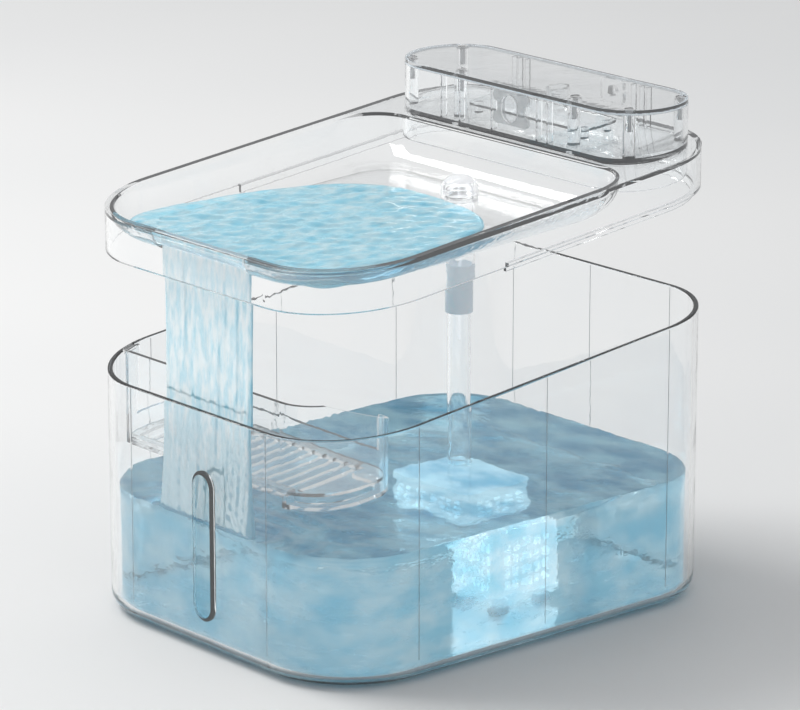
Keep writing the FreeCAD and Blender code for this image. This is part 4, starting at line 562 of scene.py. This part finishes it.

# %% [markdown]
# ## The falling sheet
# The water leaves the slot as a thin sheet and stays one until it lands. Its section is a closed loop,
# as wide as the slot and about a millimetre and a half thick, and upright ridges run down it and drift a
# little on the way. It widens where it lands. The piece rides on the tray.

# %% Let the sheet fall
FALL_TOP, FALL_END = 0.1860, 0.0592
FALL_HALF = 0.0312
FALL_THICK, FALL_THICKER = 0.0008, 0.0012  # half the thickness at the top, and what it gains by the bottom
FALL_DRIFT = 0.0012                        # how far it leans forward by the bottom
RIDGES = [(0.00008, 0.0125, 0.5, 0.3), (0.00006, 0.0072, -0.6, 1.7),  # depth, width, drift and phase
          (0.00005, 0.0041, 0.9, 4.0)]
TREMBLE = 0.00012
loop = np.linspace(0.0, 2 * pi, 260, endpoint=False)[None]
down = np.linspace(0.0, 1.0, 200)[:, None]
height = FALL_TOP + (FALL_END - FALL_TOP) * down
half = FALL_HALF * (1 - 0.03 * np.sin(pi * down) + 0.06 * down ** 8)
across = half * np.sign(np.cos(loop)) * (1 - (1 - np.abs(np.cos(loop))) ** 1.6)
thick = FALL_THICK + FALL_THICKER * down ** 6
ridge = sum(a * np.sin(2 * pi * (across / w + drift * down) + p) for a, w, drift, p in RIDGES)
tremble = TREMBLE * np.sin(2 * pi * (across / 0.0065 - 9.0 * down)) * down ** 2
tremble = tremble * np.sin(2 * pi * (across / 0.017 + 13.0 * down))
body = thick * np.abs(np.sin(loop)) ** 0.5 * np.sign(np.sin(loop))
relief = (ridge * np.abs(np.sin(loop)) + tremble) * np.minimum(down * 8, 1.0)
fall_y = FALL_Y - FALL_DRIFT * down + body + relief
rows = np.stack([across, fall_y, np.broadcast_to(height, across.shape)], axis=-1)
fall = ring_body("water_fall", rows, (0, FALL_Y, FALL_TOP), (0, FALL_Y, FALL_END),
                 [materials["fall_water"]])
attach(fall, "tray")
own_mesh(fall)

# %% [markdown]
# ## The fine upright lines in the walls
# The walls show hair-thin upright lines where the flat sides meet the round corners, and one in the middle
# of each long side and of the back. Each line is a sliver of grey inside the thickness of the wall, so it
# is seen through the plastic from all sides. All of them are one mesh.

# %% Draw the wall lines
TANK_HALF_WIDTH, TANK_HALF_DEPTH = 0.096, 0.12
RIM_FRONT_HEIGHT, RIM_GAP = 0.1130, 0.0012
WALL_MIDDLE = 0.0012
LINE_WIDTH, LINE_FOOT = 0.00022, 0.0105
front_y, back_y = -TANK_HALF_DEPTH + WALL_MIDDLE, TANK_HALF_DEPTH - WALL_MIDDLE
side_x = TANK_HALF_WIDTH - WALL_MIDDLE
line_places = np.array([(x, front_y) for x in (-0.048, 0.048)]
                       + [(side * side_x, y) for side in (-1, 1) for y in (-0.072, 0.003, 0.078)]
                       + [(x, back_y) for x in (-0.054, 0.0, 0.054)])
line_tops = RIM_FRONT_HEIGHT + RIM_SLOPE * (line_places[:, 1] + TANK_HALF_DEPTH) - RIM_GAP
corner = np.array([(-1, -1), (1, -1), (1, 1), (-1, 1)]) * LINE_WIDTH / 2
line_plan = line_places[:, None] + corner
heights = line_plan.shape[:2] + (1,)
foot = np.concatenate([line_plan, np.full(heights, LINE_FOOT)], axis=-1)
tip = np.concatenate([line_plan, np.broadcast_to(line_tops[:, None, None], heights)], axis=-1)
box_faces = np.array([(0, 3, 2, 1), (4, 5, 6, 7), (0, 1, 5, 4), (1, 2, 6, 5), (2, 3, 7, 6), (3, 0, 4, 7)])
points_each = 2 * len(corner)
line_faces = (box_faces[None] + points_each * np.arange(len(line_places))[:, None, None]).reshape(-1, 4)
line_points = np.concatenate([foot, tip], axis=1).reshape(-1, 3)
line_mesh = bpy.data.meshes.new("wall_lines")
line_mesh.from_pydata(line_points.tolist(), [], line_faces.tolist())
line_mesh.materials.append(materials["wall_line"])
wall_lines = bpy.data.objects.new("wall_lines", line_mesh)
scene.collection.objects.link(wall_lines)
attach(wall_lines, "base")
print("wall lines", len(line_places))
